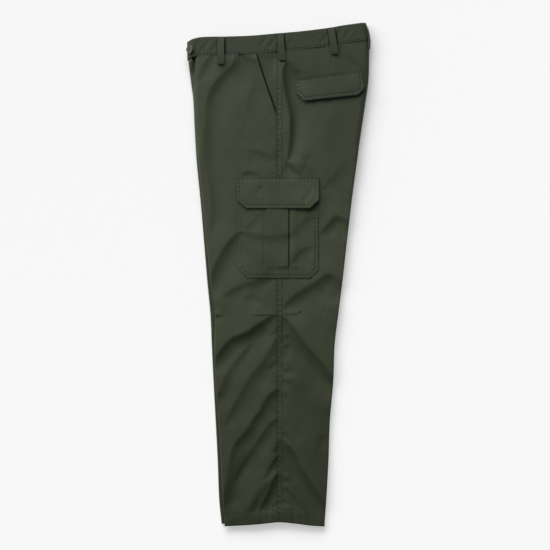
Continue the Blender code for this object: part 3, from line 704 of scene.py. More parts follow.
def mark_leg(panel, x, y):
    """The side seam's strip, the hem's edge and the ridges of creases are a little paler, and painted light
    makes the thigh and knee paler still; painted shade darkens the seam, its stitch rows, the cloth under the
    band, the hip, the hem and the cloth round the pocket and flap.
    """
    from_seam = x - SIDE_SEAM_X
    above_hem = y - line_y(HEM, x)
    strip = hill(from_seam - 0.5 * FELL_WIDTH, 0.3 * FELL_WIDTH) * (0.08 + 0.10 * pucker(y))
    ridges = RIDGE_PALE * np.maximum(0.0, crease_height(x, y))
    # Painted shade along the seam's valley, its stitch rows and the hem's row, under the band's edge, towards
    # the waist, over the hem and round the pocket and flap.
    sunk = SEAM_DARK.at(from_seam + 0.0003) + UNDER_BAND_DARK.at(line_y(WAIST_SEAM, x) - y)
    for row in SEAM_ROWS:
        sunk += SEAM_ROW_DARK.at(from_seam - row * FELL_WIDTH) * dashes(y)
    sunk += HEM_ROW_DARK.at(above_hem - HEM_TURNUP) * dashes(x)
    sunk += HIP_DARK * smooth_share((y - 0.34) / 0.12)
    sunk += HEM_DARK * smooth_share((HEM_TURNUP - above_hem) / 0.002)
    for outline in (CARGO_POCKET, CARGO_FLAP):
        sunk += ROUND_PATCH_DARK.at(np.minimum(0.0, inside_distance(outline, x, y)))
    mark_points(panel, worn=painted_light_by_place(x, y) + strip + ridges + HEM_PALE.at(above_hem), sunk=sunk)


ROUND_STEPS = 14
FLAT_STEP = 0.0026
ROW_STEP = 0.0026


def rows_between(point_at, hem_lift, waist_drop):
    """Rows from the hem to the waist seam, for a panel whose points point_at gives."""

    def place(column, up):
        at_hem = point_at(column, np.full(column.shape, HEM[0].y))[:, 0]
        at_waist = point_at(column, np.full(column.shape, WAIST_SEAM[1].y))[:, 0]
        low = line_y(HEM, at_hem) + hem_lift
        high = line_y(WAIST_SEAM, at_waist) - WAIST_GAP - waist_drop
        return point_at(column, blend(low, high, up))

    return place


def place_leg_panel(edge_column, inward):
    """How one upper panel lies: a function from its columns and rows to points."""

    def seam_at(y):
        if inward > 0.0:
            return np.where(y > HAND_POCKET_MOUTH[0].y, mouth_x(y), SIDE_SEAM_X - 0.5 * SEAM_GAP)
        return np.full(np.shape(y), SIDE_SEAM_X + 0.5 * SEAM_GAP)

    def point_at(column, y):
        edge = edge_x(edge_column, y)
        return shell_points(edge, inward, column, seam_at(y), y, leg_face, EDGE_ROUND, 1.0, 0.5 * LEG_GAP)

    return rows_between(point_at, 0.0, 0.0)


PANEL_FOOT_Y = -0.5365
PANEL_TOP_Y = 0.476
DART_COLUMN = 0.3745  # the back panel's column that its dart runs along


def up_share(y):
    """The row share at which a panel's middle reaches a height on the page."""
    return (y - PANEL_FOOT_Y) / (PANEL_TOP_Y - PANEL_FOOT_Y)


for name, edge_column, inward, flat_width in (
    ("left_front_cloth", "front", 1.0, 0.168),
    ("left_back_cloth", "seat", -1.0, 0.188),
):
    round_edge = np.linspace(-1.0, 0.0, ROUND_STEPS + 1)[:-1]
    fine_columns = (1.0, DART_COLUMN) if name == "left_back_cloth" else (1.0,)
    step, fine_reach, fine_step = FLAT_STEP / flat_width, 0.014 / flat_width, 0.0009 / flat_width
    flat_part = steps_with(0.0, 1.0, step, fine_columns, fine_reach, fine_step)
    across = np.concatenate([round_edge, flat_part])
    fine_rows = (up_share(KNEE_DART_Y), up_share(PANEL_FOOT_Y + HEM_TURNUP), 1.0)
    along = steps_with(0.0, 1.0, ROW_STEP / 1.01, fine_rows, 0.0055, 0.0008)
    place_panel = place_leg_panel(edge_column, inward)
    panel, x, y = lay_wall(name, across, along, place_panel, (0.0, 0.0, 1.0), CLOTH)
    mark_leg(panel, x, y)
    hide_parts(name.replace("_cloth", ""))

# ------------------------------------------------
# The right leg's front and back panels: the same cloth, face down on the table under the left leg. Only
# a strip of each shows beyond the upper leg, where its folded edge curls up.
# ------------------------------------------------

UNDER_HEM_LIFT = 0.0050
UNDER_WAIST_DROP = 0.0015
FLY_TURN = math.radians(62.0)  # how far the fly's edge curls over, above the crotch
FLY_CREST = Mark(0.0074, 0.0060)  # its sewn edge stands up to the band's front end
FLY_CREST_X = -0.1885
FLY_CREST_LOW = 0.425
# Painted light on the fly's curled edge above the crotch, against the band's shade.
FLY_PAINTED_LIGHT = 0.45
LIP_REACH = 0.0045
LIP_SINK = 0.0008
LIP_STEPS = 5


def lower_shell_points(edge, inward, column, seam, y, lip_to=None):
    """Points of a lower shell, which lies flat on the table and curls up at its edge.

    Columns from -2 to -1 are its lip, which runs on level under the upper leg, to lip_to.
    """
    turn_end = under_turn(y)
    if lip_to is not None and inward > 0.0:
        turn_end = np.maximum(turn_end, FLY_TURN)
    mid = mid_height(edge, y) - 0.5 * LEG_GAP
    half = mid / (1.0 + np.sin(turn_end))
    width = half * EDGE_ROUND
    turn = blend(math.pi / 2.0, -turn_end, np.clip(-column, 0.0, 1.0))
    x_round = edge + inward * width * (1.0 - np.cos(turn))
    x_flat = blend(edge + inward * width, seam, np.clip(column, 0.0, 1.0))
    x = np.where(column >= 0.0, x_flat, x_round)
    z = np.where(column >= 0.0, 0.0, half - half * np.sin(turn))
    if lip_to is not None:
        on_lip = np.clip(-1.0 - column, 0.0, 1.0)
        x = blend(x, lip_to, on_lip)
        z = z - LIP_SINK * on_lip
    return np.stack([x, np.broadcast_to(y, x.shape), z], axis=-1)


def place_under_panel(edge_column, upper_column, inward):
    seam = SIDE_SEAM_X - 0.5 * inward * SEAM_GAP

    def point_at(column, y):
        lip_to = edge_x(upper_column, y) + inward * LIP_REACH
        points = lower_shell_points(edge_x(edge_column, y), inward, column, seam, y, lip_to)
        by_band = smooth_share((points[..., 1] - FLY_CREST_LOW) / 0.035) * (column < 0.0)
        points[..., 2] += FLY_CREST.at(points[..., 0] - FLY_CREST_X) * by_band
        return points

    return rows_between(point_at, UNDER_HEM_LIFT, UNDER_WAIST_DROP)


for name, edge_column, upper_column, inward, flat_width in (
    ("right_front_cloth", "under_front", "front", 1.0, 0.180),
    ("right_back_cloth", "under_seat", "seat", -1.0, 0.188),
):
    lip = np.linspace(-2.0, -1.0, LIP_STEPS + 1)[:-1]
    across = np.concatenate([lip, np.linspace(-1.0, 0.0, ROUND_STEPS + 1)[:-1], np.linspace(0.0, 1.0, 19)])
    place_panel = place_under_panel(edge_column, upper_column, inward)
    panel, x, y = lay_wall(name, across, np.linspace(0.0, 1.0, 241), place_panel, (0.0, 0.0, -1.0), CLOTH)
    # The under panels are a little paler, and painted light lifts the fly's edge above the crotch.
    mark_points(panel, worn=0.10 + FLY_PAINTED_LIGHT * (x < 0.0) * smooth_share((y - 0.35) / 0.03))
    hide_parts(name.replace("_cloth", ""))

# ------------------------------------------------
# The waistband: a straight strip of doubled twill over a stiffener, 38 mm wide, sewn to the panels and
# folded in half with them. Its front end slopes down to the button, its seat end is the centre back.
# ------------------------------------------------

BAND_CLOTH = 0.0024
BAND_PROUD = 0.0008
BAND_ROLL = 0.0018
BAND_FRONT_ROUND = 1.25
BAND_FRONT_WEDGE = 1.4
BAND_FRONT_LIFT = 0.0020
BandEnd = namedtuple("BandEnd", "rise front seat")
BAND_ENDS = (
    BandEnd(0.0, -0.1958, 0.1950),
    BandEnd(0.5, -0.1963, 0.1918),
    BandEnd(1.0, -0.1963, 0.1853),
)
BAND_STITCH_LOW = 0.0022

# The belt loops cross the band: the top front corner, and how far the lower end leans to the seat.
Loop = namedtuple("Loop", "name x width length lean")
LOOPS = (
    Loop("belt_loop_front", -0.1305, 0.0140, 0.0590, 0.0),
    Loop("belt_loop_side", -0.0034, 0.0135, 0.0575, 0.0045),
    Loop("belt_loop_back", 0.1053, 0.0140, 0.0560, 0.0086),
)

# The loops press the band in beside them, and painted shade darkens it there: how much, over what width, and
# how far off.
PRESSED_FRONT = Mark(0.0008, 0.0013)
PRESSED_SEAT = Mark(0.0022, 0.0016)
PRESSED_OFF = (0.0008, 0.0012)
DARK_FRONT = Mark(0.45, 0.0014)
DARK_SEAT = Mark(0.85, 0.0016)
DARK_OFF = (0.0010, 0.0014)
# Painted shade along the band's foot seam.
BAND_FOOT_DARK = Mark(0.55, 0.0022)
EDGE_PALE = Mark(0.10, 0.002)
BAND_GROOVE = Mark(0.0005, 0.0012)
BAND_GATHERS = Mark(0.00040, 0.011)
BAND_RIPPLE = 0.00042
BAND_RIPPLE_PITCH = 0.0230


def beside_loops(x, rise_y, front_mark, seat_mark, off):
    """Marks along the front and seat sides of the belt loops."""
    total = 0.0
    for loop in LOOPS:
        across = x - loop.x - loop.lean * (BAND_WIDTH - rise_y) / loop.length
        total = total + front_mark.at(across + off[0]) + seat_mark.at(across - loop.width - off[1])
    return total


def band_relief(x, rise_y):
    """Ripples in the band and along its seam, and the stitching's groove; the loops press into it."""
    inside = np.sin(math.pi * np.clip(rise_y / BAND_WIDTH, 0.0, 1.0)) ** 2
    slanted = math.tau * (x - 0.7 * rise_y) / BAND_RIPPLE_PITCH
    ripples = BAND_RIPPLE * inside * np.sin(slanted + np.sin(x / 0.03))
    ripples += BAND_GATHERS.at(rise_y) * gathers(x, 1.3, 0.023)
    pressed = beside_loops(x, rise_y, PRESSED_FRONT, PRESSED_SEAT, PRESSED_OFF)
    ripples = ripples * (0.5 + 0.5 * np.sin(x / 0.021 + 2.0))
    return ripples - BAND_GROOVE.at(rise_y - BAND_STITCH_LOW) - pressed


def band_face(x, y):
    """The band's outer face, which is fuller towards its top edge."""
    rise_y = y - line_y(WAIST_SEAM, x)
    roll = BAND_ROLL * smooth_share(rise_y / BAND_WIDTH)
    return bare_cover(x, y) + BAND_PROUD + roll + band_relief(x, rise_y)


def place_band(is_upper):
    """The band's columns run from -1 at the front's split edge to 3 at the seat's."""

    def half_at(side, inward, share, rise, y):
        edge = read_curve(BAND_ENDS, "rise", side, rise)
        if not is_upper:
            return lower_shell_points(edge, inward, share, SIDE_SEAM_X, y)
        shape = (EDGE_ROUND, 1.0, 0.5 * LEG_GAP)
        if side == "front":
            shape = (BAND_FRONT_ROUND, BAND_FRONT_WEDGE, BAND_FRONT_LIFT)
        return shell_points(edge, inward, share, SIDE_SEAM_X, y, band_face, *shape)

    def place(column, rise):
        above_seam = BAND_WIDTH * rise - (0.0 if is_upper else UNDER_WAIST_DROP)
        halves = []
        for side, inward, share in (("front", 1.0, column), ("seat", -1.0, 2.0 - column)):
            edge = read_curve(BAND_ENDS, "rise", side, rise)
            x = half_at(side, inward, share, rise, line_y(WAIST_SEAM, edge) + above_seam)[:, 0]
            halves.append(half_at(side, inward, share, rise, line_y(WAIST_SEAM, x) + above_seam))
        return np.where((column > 1.0)[:, None], halves[1], halves[0])

    return place


def soften_edges(piece, width):
    soften = piece.modifiers.new("Turned edge", "BEVEL")
    soften.width = width
    soften.segments = 2
    soften.limit_method = "ANGLE"
    soften.angle_limit = math.radians(50.0)


for name, is_upper, flat_steps in (("waistband_left_cloth", True, 150), ("waistband_right_cloth", False, 24)):
    half = np.concatenate([np.linspace(-1.0, 0.0, ROUND_STEPS + 1)[:-1], np.linspace(0.0, 1.0, flat_steps)])
    across = np.concatenate([half, 2.0 - half[:-1][::-1]])
    along = steps_with(0.0, 1.0, 0.05, (0.02, 0.09, 0.91, 0.98), 0.04, 0.016)
    outward = (0.0, 0.0, 1.0 if is_upper else -1.0)
    band, x, y = lay_wall(name, across, along, place_band(is_upper), outward, BAND_CLOTH)
    soften_edges(band, 0.0007)
    rise_y = y - line_y(WAIST_SEAM, x)
    # Painted shade: the whole band a little darker, and darker along its foot seam and beside the loops.
    by_loops = beside_loops(x, rise_y, DARK_FRONT, DARK_SEAT, DARK_OFF)
    mark_points(band, worn=EDGE_PALE.at(rise_y - BAND_WIDTH),
                sunk=0.18 + BAND_FOOT_DARK.at(rise_y) + by_loops)
    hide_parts(name.replace("_cloth", ""))

# ------------------------------------------------
# The hand pocket's facing: a wedge of twill that shows between the front panel's slant mouth and the
# side seam. It is sewn into the side seam and the waistband, and lies one cloth below the mouth's edge.
# ------------------------------------------------

FACING_SINK = 0.0012
FACING_DIP = Mark(0.0042, 0.0015)
# Painted shade along the pocket's mouth.
FACING_DARK = Mark(0.75, 0.0016)
FACING_TUCK = 0.0050  # how far it runs on under the front panel
PATCH_STEP = 0.0014


def slice_flat(mesh, axis, places):
    for place in places:
        point = Vector((0.0, 0.0, 0.0))
        point[axis] = place
        direction = Vector((0.0, 0.0, 0.0))
        direction[axis] = 1.0
        everything = mesh.verts[:] + mesh.edges[:] + mesh.faces[:]
        bmesh.ops.bisect_plane(mesh, geom=everything, dist=1e-6, plane_co=point, plane_no=direction)


def lay_patch(name, outline, under, thickness, fine_x=(), step=PATCH_STEP):
    """A piece cut to an outline and laid on what is under it, with its points' x and y.

    Its thickness may vary over it.
    """
    mesh = bmesh.new()
    mesh.faces.new([mesh.verts.new((x, y, 0.0)) for x, y in outline])
    xs = [corner[0] for corner in outline]
    ys = [corner[1] for corner in outline]
    slice_flat(mesh, 0, list(even_steps(min(xs), max(xs), step)[1:-1]) + list(fine_x))
    slice_flat(mesh, 1, even_steps(min(ys), max(ys), step)[1:-1])
    grown = bmesh.ops.extrude_face_region(mesh, geom=mesh.faces[:])
    for part in grown["geom"]:
        if isinstance(part, bmesh.types.BMVert):
            part.co.z = 1.0
    bmesh.ops.recalc_face_normals(mesh, faces=mesh.faces[:])
    data = bpy.data.meshes.new(name)
    mesh.to_mesh(data)
    mesh.free()
    piece = finish_piece(name, data, twill)
    points = mesh_points(data)
    x, y, upper = points.T
    points[:, 2] = under(x, y) + upper * thickness(x, y)
    data.vertices.foreach_set("co", points.ravel())
    data.update()
    return piece, x, y


def facing_under(x, y):
    """It lies below the front panel and dips into the pocket along the mouth."""
    open_here = smooth_share((line_y(WAIST_SEAM, x) - y) / 0.016)
    sink = FACING_SINK * smooth_share((SIDE_SEAM_X - x) / 0.006) * open_here
    into_pocket = FACING_DIP.at(np.maximum(0.0, x - mouth_x(y) - 0.0010)) * open_here
    into_pocket = into_pocket * smooth_share((y - HAND_POCKET_MOUTH[0].y - 0.004) / 0.015)
    return soft_face(x, y) + seam_relief(x, y) - CLOTH - sink - into_pocket


facing_seam = SIDE_SEAM_X - 0.5 * SEAM_GAP
facing_top = HAND_POCKET_MOUTH[-1].x - FACING_TUCK
facing_outline = [(facing_seam, HAND_POCKET_MOUTH[0].y)]
facing_outline += [(point.x - FACING_TUCK, point.y) for point in HAND_POCKET_MOUTH[1:-1]]
facing_outline += [(x, float(line_y(WAIST_SEAM, x)) - WAIST_GAP) for x in (facing_top, facing_seam)]
facing, x, y = lay_patch("hand_pocket_facing_cloth", facing_outline, facing_under, lambda x, y: CLOTH)
# Painted shade: the whole facing darker, and darkest along the mouth where it dips into the pocket.
mark_points(facing, sunk=0.34 + FACING_DARK.at(np.maximum(0.0, x - mouth_x(y) - 0.0006)))
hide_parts("hand_pocket_facing")

# ------------------------------------------------
# The back pocket's flap: two layers of twill, turned and topstitched, sewn down along its top edge. Its
# lower edge stands a little off the seat.
# ------------------------------------------------

BACK_FLAP = line_of(
    (0.0344, 0.4203), (0.0398, 0.3881), (0.0548, 0.3720), (0.1709, 0.3849), (0.1838, 0.3988),
    (0.1784, 0.4386),
)
FLAP_CLOTH = 0.0018
PIECE_GAP = 0.0005
FLAP_STITCH = 0.0066  # topstitching, in from the turned edge
EDGE_PUCKER = 0.00036
EDGE_PUCKER_PITCH = 0.0088
TURNED_GROOVE = Mark(0.0005, 0.0011)
# Painted shade along a turned edge's stitching and rim, and along the back flap's top seam.
TURNED_ROW_DARK = Mark(0.60, 0.0011)
TURNED_RIM_DARK = Mark(0.30, 0.0009)
BACK_FLAP_SEAM_DARK = Mark(0.7, 0.0012)


def turned_edge(outline, x, y, stitch):
    """Relief of a turned and topstitched edge: drawn in along the stitching, with puckers across it."""
    inside, way = outline_place(outline, x, y)
    swell = hill(inside - 0.55 * stitch, 0.42 * stitch) * (0.65 + 0.35 * np.sin(way / 0.023))
    drift = 0.7 * np.sin(way / 0.017) + 0.5 * np.sin(way / 0.0071 + 1.0)
    puckers = EDGE_PUCKER * swell * np.cos(math.tau * way / EDGE_PUCKER_PITCH + drift)
    return puckers - TURNED_GROOVE.at(inside - stitch)


def sewn_shade(outline, x, y, stitch):
    """Painted shade of a turned edge: a line along its stitching, broken at each stitch, and its very edge.
    """
    inside, way = outline_place(outline, x, y)
    return TURNED_ROW_DARK.at(inside - stitch) * dashes(way) + TURNED_RIM_DARK.at(inside)


def below_top(outline, x, y):
    """How far a place is below the straight top edge of a flap's outline."""
    left, right = outline[0], outline[-1]
    return blend(left.y, right.y, (x - left.x) / (right.x - left.x)) - y


def back_flap_under(x, y):
    fall = smooth_share(below_top(BACK_FLAP, x, y) / 0.05)
    return soft_face(x, y) + PIECE_GAP + fall * blend(0.0028, 0.0020, smooth_share((x - 0.10) / 0.08))


def back_flap_thickness(x, y):
    return FLAP_CLOTH + turned_edge(BACK_FLAP, x, y, FLAP_STITCH)


back_flap, x, y = lay_patch("back_pocket_flap_cloth", BACK_FLAP, back_flap_under, back_flap_thickness)
soften_edges(back_flap, 0.0004)
# Painted shade: the whole flap a little darker, and darker along its stitching, rim and top seam; its edges
# are paler.
by_seam = BACK_FLAP_SEAM_DARK.at(below_top(BACK_FLAP, x, y) - 0.0010)
mark_points(back_flap, sunk=0.20 + sewn_shade(BACK_FLAP, x, y, FLAP_STITCH) + by_seam,
            worn=EDGE_PALE.at(inside_distance(BACK_FLAP, x, y)))
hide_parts("back_pocket_flap")

# ------------------------------------------------
# The cargo pocket: a patch of twill with a box pleat down its middle, topstitched round its edge and
# set over the side seam.
# ------------------------------------------------

POCKET_CLOTH = 0.0015
POCKET_STITCH = 0.0070
POCKET_FULLNESS = 0.0014
POCKET_LIFT = 0.0003
PLEAT_FRONT_X = -0.0262
PLEAT_SEAT_X = 0.0215
PLEAT_FOOT_Y = 0.0110  # the pleat's folds are sewn down below here
PLEAT_CLOTH = 0.0014
PLEAT_HOLLOW = Mark(0.0007, 0.0030)
PLEAT_GAP = Mark(0.0012, 0.00153)
BEYOND_PLEAT = Mark(0.0009, 0.007)
# Painted shade beside the pleat's folds.
PLEAT_DARK = Mark(0.8, 0.0015)
PLEAT_FRONT_DARK = Mark(0.45, 0.0014)


def pocket_under(x, y):
    inside = np.clip(inside_distance(CARGO_POCKET, x, y), 0.0, 1.0)
    return soft_face(x, y) + POCKET_LIFT + POCKET_FULLNESS * smooth_share(inside / 0.05)


def pocket_thickness(x, y):
    loose = smooth_share((y - PLEAT_FOOT_Y + 0.004) / 0.012)
    front_fold = smooth_share((x - PLEAT_FRONT_X + 0.0010) / 0.0020)
    seat_fold = smooth_share((PLEAT_SEAT_X + 0.0003 - x) / 0.0006)
    below_mouth = CARGO_POCKET[0].y - y  # thin and pressed flat under the flap's seam
    pleat = PLEAT_CLOTH * front_fold * seat_fold * blend(0.25, 1.0, loose)
    pleat = pleat * blend(0.15, 1.0, smooth_share(below_mouth / 0.040))
    cloth = POCKET_CLOTH * blend(0.55, 1.0, smooth_share(below_mouth / 0.030))
    cloth = cloth * blend(0.50, 1.0, smooth_share(inside_distance(CARGO_POCKET, x, y) / 0.010))
    folds = BEYOND_PLEAT.at(x - PLEAT_SEAT_X - 0.012) - PLEAT_HOLLOW.at(x - PLEAT_FRONT_X + 0.0035)
    folds = folds - PLEAT_GAP.at(x - PLEAT_SEAT_X - 0.0017)
    edge = turned_edge(CARGO_POCKET, x, np.minimum(y, 0.165), POCKET_STITCH)
    return cloth + pleat + folds * loose + edge


pleat_slices = [PLEAT_SEAT_X + offset for offset in (-0.0006, 0.0, 0.0004, 0.0010, 0.0016, 0.0022)]
pleat_slices += [PLEAT_FRONT_X + offset for offset in (-0.0010, 0.0, 0.0010)]
cargo_pocket, x, y = lay_patch("cargo_pocket_cloth", CARGO_POCKET, pocket_under, pocket_thickness,
                               fine_x=pleat_slices, step=0.0017)
soften_edges(cargo_pocket, 0.0003)
# Painted shade beside the pleat's folds and along the pocket's stitching and rim, and painted light from its
# place on the leg.
beside_pleat = PLEAT_DARK.at(x - PLEAT_SEAT_X - 0.0013) * smooth_share((y - 0.012) / 0.006)
beside_pleat = beside_pleat + PLEAT_FRONT_DARK.at(x - PLEAT_FRONT_X + 0.0002)
mark_points(cargo_pocket, sunk=0.45 * sewn_shade(CARGO_POCKET, x, y, POCKET_STITCH) + beside_pleat,
            worn=painted_light_by_place(x, y))
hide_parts("cargo_pocket")

# ------------------------------------------------
# The cargo pocket's flap: two layers, turned and topstitched, sewn down by two rows along its top. It
# falls over the pocket's mouth and its seat corner curls up.
# ------------------------------------------------

FLAP_TOP_ROWS = (0.0020, 0.0104)
FLAP_CURL = 0.0034
FLAP_ROW_GROOVE = Mark(0.0003, 0.0010)
# Painted shade along the flap's top rows.
FLAP_ROW_DARK = Mark(0.85, 0.0011)


def cargo_flap_under(x, y):
    below = below_top(CARGO_FLAP, x, y)
    over = smooth_share((below + 0.001) / 0.016)
    fall = smooth_share((below - 0.010) / 0.050)
    curl = FLAP_CURL * fall * smooth_share((x + 0.010) / 0.090) + 0.0016 * fall
    on_pocket = POCKET_CLOTH + 0.2 * PLEAT_CLOTH
    return soft_face(x, y) + PIECE_GAP + over * on_pocket + curl


def cargo_flap_thickness(x, y):
    rows = sum(FLAP_ROW_GROOVE.at(below_top(CARGO_FLAP, x, y) - row) for row in FLAP_TOP_ROWS)
    return FLAP_CLOTH + turned_edge(CARGO_FLAP, x, y, FLAP_STITCH) - rows


cargo_flap, x, y = lay_patch("cargo_flap_cloth", CARGO_FLAP, cargo_flap_under, cargo_flap_thickness)
soften_edges(cargo_flap, 0.0004)
# Painted shade along the flap's stitching, rim and top rows; painted light from its place on the leg, and
# paler edges.
rows = sum(FLAP_ROW_DARK.at(below_top(CARGO_FLAP, x, y) - row) for row in FLAP_TOP_ROWS)
mark_points(cargo_flap, sunk=sewn_shade(CARGO_FLAP, x, y, FLAP_STITCH) + rows * (0.5 + 0.5 * dashes(x)),
            worn=painted_light_by_place(x, y) + EDGE_PALE.at(inside_distance(CARGO_FLAP, x, y)))
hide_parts("cargo_flap")

# ------------------------------------------------
# The belt loops: folded strips of twill, bar-tacked at both ends, that bridge the band. The centre-back
# one is folded round the seat edge with the band.
# ------------------------------------------------

LOOP_CLOTH = 0.0018
LOOP_ARCH = 0.0016
LOOP_OVER_SEAM = 0.0008
CENTRE_LOOP_ABOVE = 0.0080
CENTRE_LOOP_BELOW = 0.0045
CENTRE_LOOP_ARCH = 0.0008
CENTRE_LOOP_LENGTH = 0.056
CENTRE_LOOP_DROP = 0.0195
LOOP_GROOVE = Mark(0.0003, 0.0009)
LOOP_PALE = Mark(0.12, 0.0014)

for loop in LOOPS:
    top = float(line_y(WAIST_SEAM, loop.x)) + BAND_WIDTH - 0.0004
    low = top - loop.length
    low_x = loop.x + loop.lean
    loop_outline = ((loop.x, top), (low_x, low), (low_x + loop.width, low), (loop.x + loop.width, top))
    # It runs straight from the band's top edge down to the panel below the seam.
    end_xs = np.linspace(low_x, low_x + loop.width, 5)
    over_cover = soft_face(end_xs, np.full(5, low)) - bare_cover(end_xs, low)
    end_height = max(float(np.max(over_cover)) + LOOP_OVER_SEAM, BAND_PROUD - 0.5 * BAND_ROLL)
    top_height = BAND_PROUD + BAND_ROLL

    def loop_under(x, y):
        share = np.clip((y - low) / loop.length, 0.0, 1.0)
        arch = LOOP_ARCH * np.sin(math.pi * share) ** 0.6
        return blend(end_height, top_height, share) + bare_cover(x, y) + PIECE_GAP + arch

    def loop_thickness(x, y):
        return LOOP_CLOTH - LOOP_GROOVE.at(np.minimum(inside_distance(loop_outline, x, y), 0.004) - 0.0028)

    belt_loop, x, y = lay_patch(f"{loop.name}_cloth", loop_outline, loop_under, loop_thickness)
    soften_edges(belt_loop, 0.0003)
    # Painted shade: each loop a little darker all over, with paler edges.
    mark_points(belt_loop, worn=LOOP_PALE.at(inside_distance(loop_outline, x, y)),
                sunk=np.full(len(x), 0.22))
    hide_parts(loop.name)


def place_centre_loop(column, up):
    seam_y = WAIST_SEAM[-1].y
    y = seam_y - CENTRE_LOOP_DROP + CENTRE_LOOP_LENGTH * up
    rise = np.clip((y - seam_y) / BAND_WIDTH, 0.0, 1.0)
    edge = np.maximum(read_curve(BAND_ENDS, "rise", "seat", rise),
                      edge_x("seat", np.minimum(y, seam_y)) - 0.012 * rise)
    mid = mid_height(edge, y)
    reach = mid * EDGE_ROUND
    upper_half = bare_cover(edge - reach, y) + BAND_PROUD - mid
    half = blend(mid, upper_half, 0.5 + 0.5 * column)
    turn = np.where(column > 0.0, CENTRE_LOOP_ABOVE, CENTRE_LOOP_BELOW) / half * column
    lift = PIECE_GAP + CENTRE_LOOP_ARCH * np.sin(math.pi * up) + LOOP_CLOTH
    tilt = np.hypot(np.cos(turn) / reach, np.sin(turn) / half)
    x = edge - reach * (1.0 - np.cos(turn)) + lift * np.cos(turn) / reach / tilt
    z = mid + half * np.sin(turn) + lift * np.sin(turn) / half / tilt
    return np.stack([x, y, z], axis=-1)


centre_loop, _, _ = lay_wall("belt_loop_centre_back_cloth", np.linspace(-1.0, 1.0, 17),
                             np.linspace(0.0, 1.0, 41), place_centre_loop, (1.0, 0.0, 0.0), LOOP_CLOTH)
soften_edges(centre_loop, 0.0005)
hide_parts("belt_loop_centre_back")

# ------------------------------------------------
# The sewing: olive thread in rows of lock stitches, and bar tacks where a seam is pulled on. Each
# stitch is a short grain of thread, half sunk in the cloth.
# ------------------------------------------------

THREAD_PITCH = 0.0032
THREAD_RADIUS = 0.00038
STITCH_FILL = 0.72  # the share of the pitch that a stitch covers

thread_finish = Finish("olive_thread")
thread_place = thread_finish.add("ShaderNodeTexCoord", {}, {}, output="Object")
ply = thread_finish.add("ShaderNodeTexNoise", {}, {"Vector": thread_place, "Scale": 900.0, "Detail": 1.0})
thread = thread_finish.shade({
    "Base Color": mix_colours(thread_finish, ply, (0.014, 0.018, 0.010, 1.0), (0.026, 0.032, 0.018, 1.0)),
    "Roughness": 0.5 + 0.2 * ply,
    "Specular IOR Level": 0.4,
})


def top_of(under, thickness):
    """The upper face of a patch, for what is sewn on it."""

    def face(x, y):
        return under(x, y) + thickness(x, y)

    return face


flap_top = top_of(cargo_flap_under, cargo_flap_thickness)
pocket_top = top_of(pocket_under, pocket_thickness)
back_flap_top = top_of(back_flap_under, back_flap_thickness)


def inset_outline(outline, inset):
    """The corners of a convex outline moved in by the same distance from each edge."""
    edges = list(outline_edges(outline))
    moved = []
    for before, after in zip(edges[-1:] + edges[:-1], edges):
        both = before[3] + after[3]
        moved.append(after[0] + both * (2.0 * inset / both.dot(both)))
    return moved


def stitch_places(points, pitch):
    """Middles and directions of stitches at even steps along a line."""
    points = np.array(points, float)
    lengths = np.linalg.norm(np.diff(points, axis=0), axis=1)
    ways = np.concatenate([[0.0], np.cumsum(lengths)])
    count = max(1, int(ways[-1] / pitch))
    at = (np.arange(count) + 0.5) * ways[-1] / count
    x = np.interp(at, ways, points[:, 0])
    y = np.interp(at, ways, points[:, 1])
    index = np.clip(np.searchsorted(ways, at) - 1, 0, len(lengths) - 1)
    turn = np.arctan2(np.diff(points[:, 1])[index], np.diff(points[:, 0])[index])
    return x, y, turn


def sew(name, rows, pitch=THREAD_PITCH, radius=THREAD_RADIUS):
    """Rows of stitches, each a line and the face that it is sewn on, as one piece made from arrays."""
    grain = bmesh.new()
    bmesh.ops.create_icosphere(grain, subdivisions=1, radius=1.0)
    grain_points = np.array([vert.co[:] for vert in grain.verts])
    grain_faces = np.array([[vert.index for vert in face.verts] for face in grain.faces])
    grain.free()
    points = []
    for line, face in rows:
        x, y, turn = stitch_places(line, pitch)
        half = 0.5 * STITCH_FILL * pitch
        z = face(x, y)
        ahead = face(x + half * np.cos(turn), y + half * np.sin(turn))
        along = np.stack([np.cos(turn) * half, np.sin(turn) * half, ahead - z], axis=-1)
        across = np.stack([-np.sin(turn), np.cos(turn), 0.0 * turn], axis=-1) * radius
        middles = np.stack([x, y, z - 0.1 * radius], axis=-1)
        up = np.array((0.0, 0.0, radius))
        stitches = (middles[:, None] + grain_points[None, :, 0, None] * along[:, None]
                    + grain_points[None, :, 1, None] * across[:, None] + grain_points[None, :, 2, None] * up)
        points.append(stitches.reshape(-1, 3))
    points = np.concatenate(points)
    firsts = np.arange(0, len(points), len(grain_points))
    faces = (firsts[:, None, None] + grain_faces[None]).reshape(-1, 3)
    data = bpy.data.meshes.new(name)
    data.from_pydata(points.tolist(), [], faces.tolist())
    return finish_piece(name, data, thread)


def rows_at(line, drop, low_x, high_x):
    """A line parallel to the waist seam or the hem."""
    return [(x, float(line_y(line, x)) + drop) for x in np.linspace(low_x, high_x, 40)]


side_seam_rows = []
for row in SEAM_ROWS:
    x = SIDE_SEAM_X + row * FELL_WIDTH
    for low, high in ((-0.527, -0.010), (0.211, PANEL_TOP_Y)):
        side_seam_rows.append(([(x, low), (x, high)], leg_face))
sew("side_seam_stitching", side_seam_rows)

sew("hem_stitching", [(rows_at(HEM, HEM_TURNUP, -0.114, 0.099), leg_face)])

sew("waistband_stitching", [(rows_at(WAIST_SEAM, BAND_STITCH_LOW, -0.186, 0.188), band_face)])

mouth_rows = []
for offset in (0.0020, 0.0100):
    mouth_rows.append(([(float(mouth_x(y)) - offset, y) for y in np.linspace(0.470, 0.340, 30)], leg_face))
sew("hand_pocket_stitching", mouth_rows)

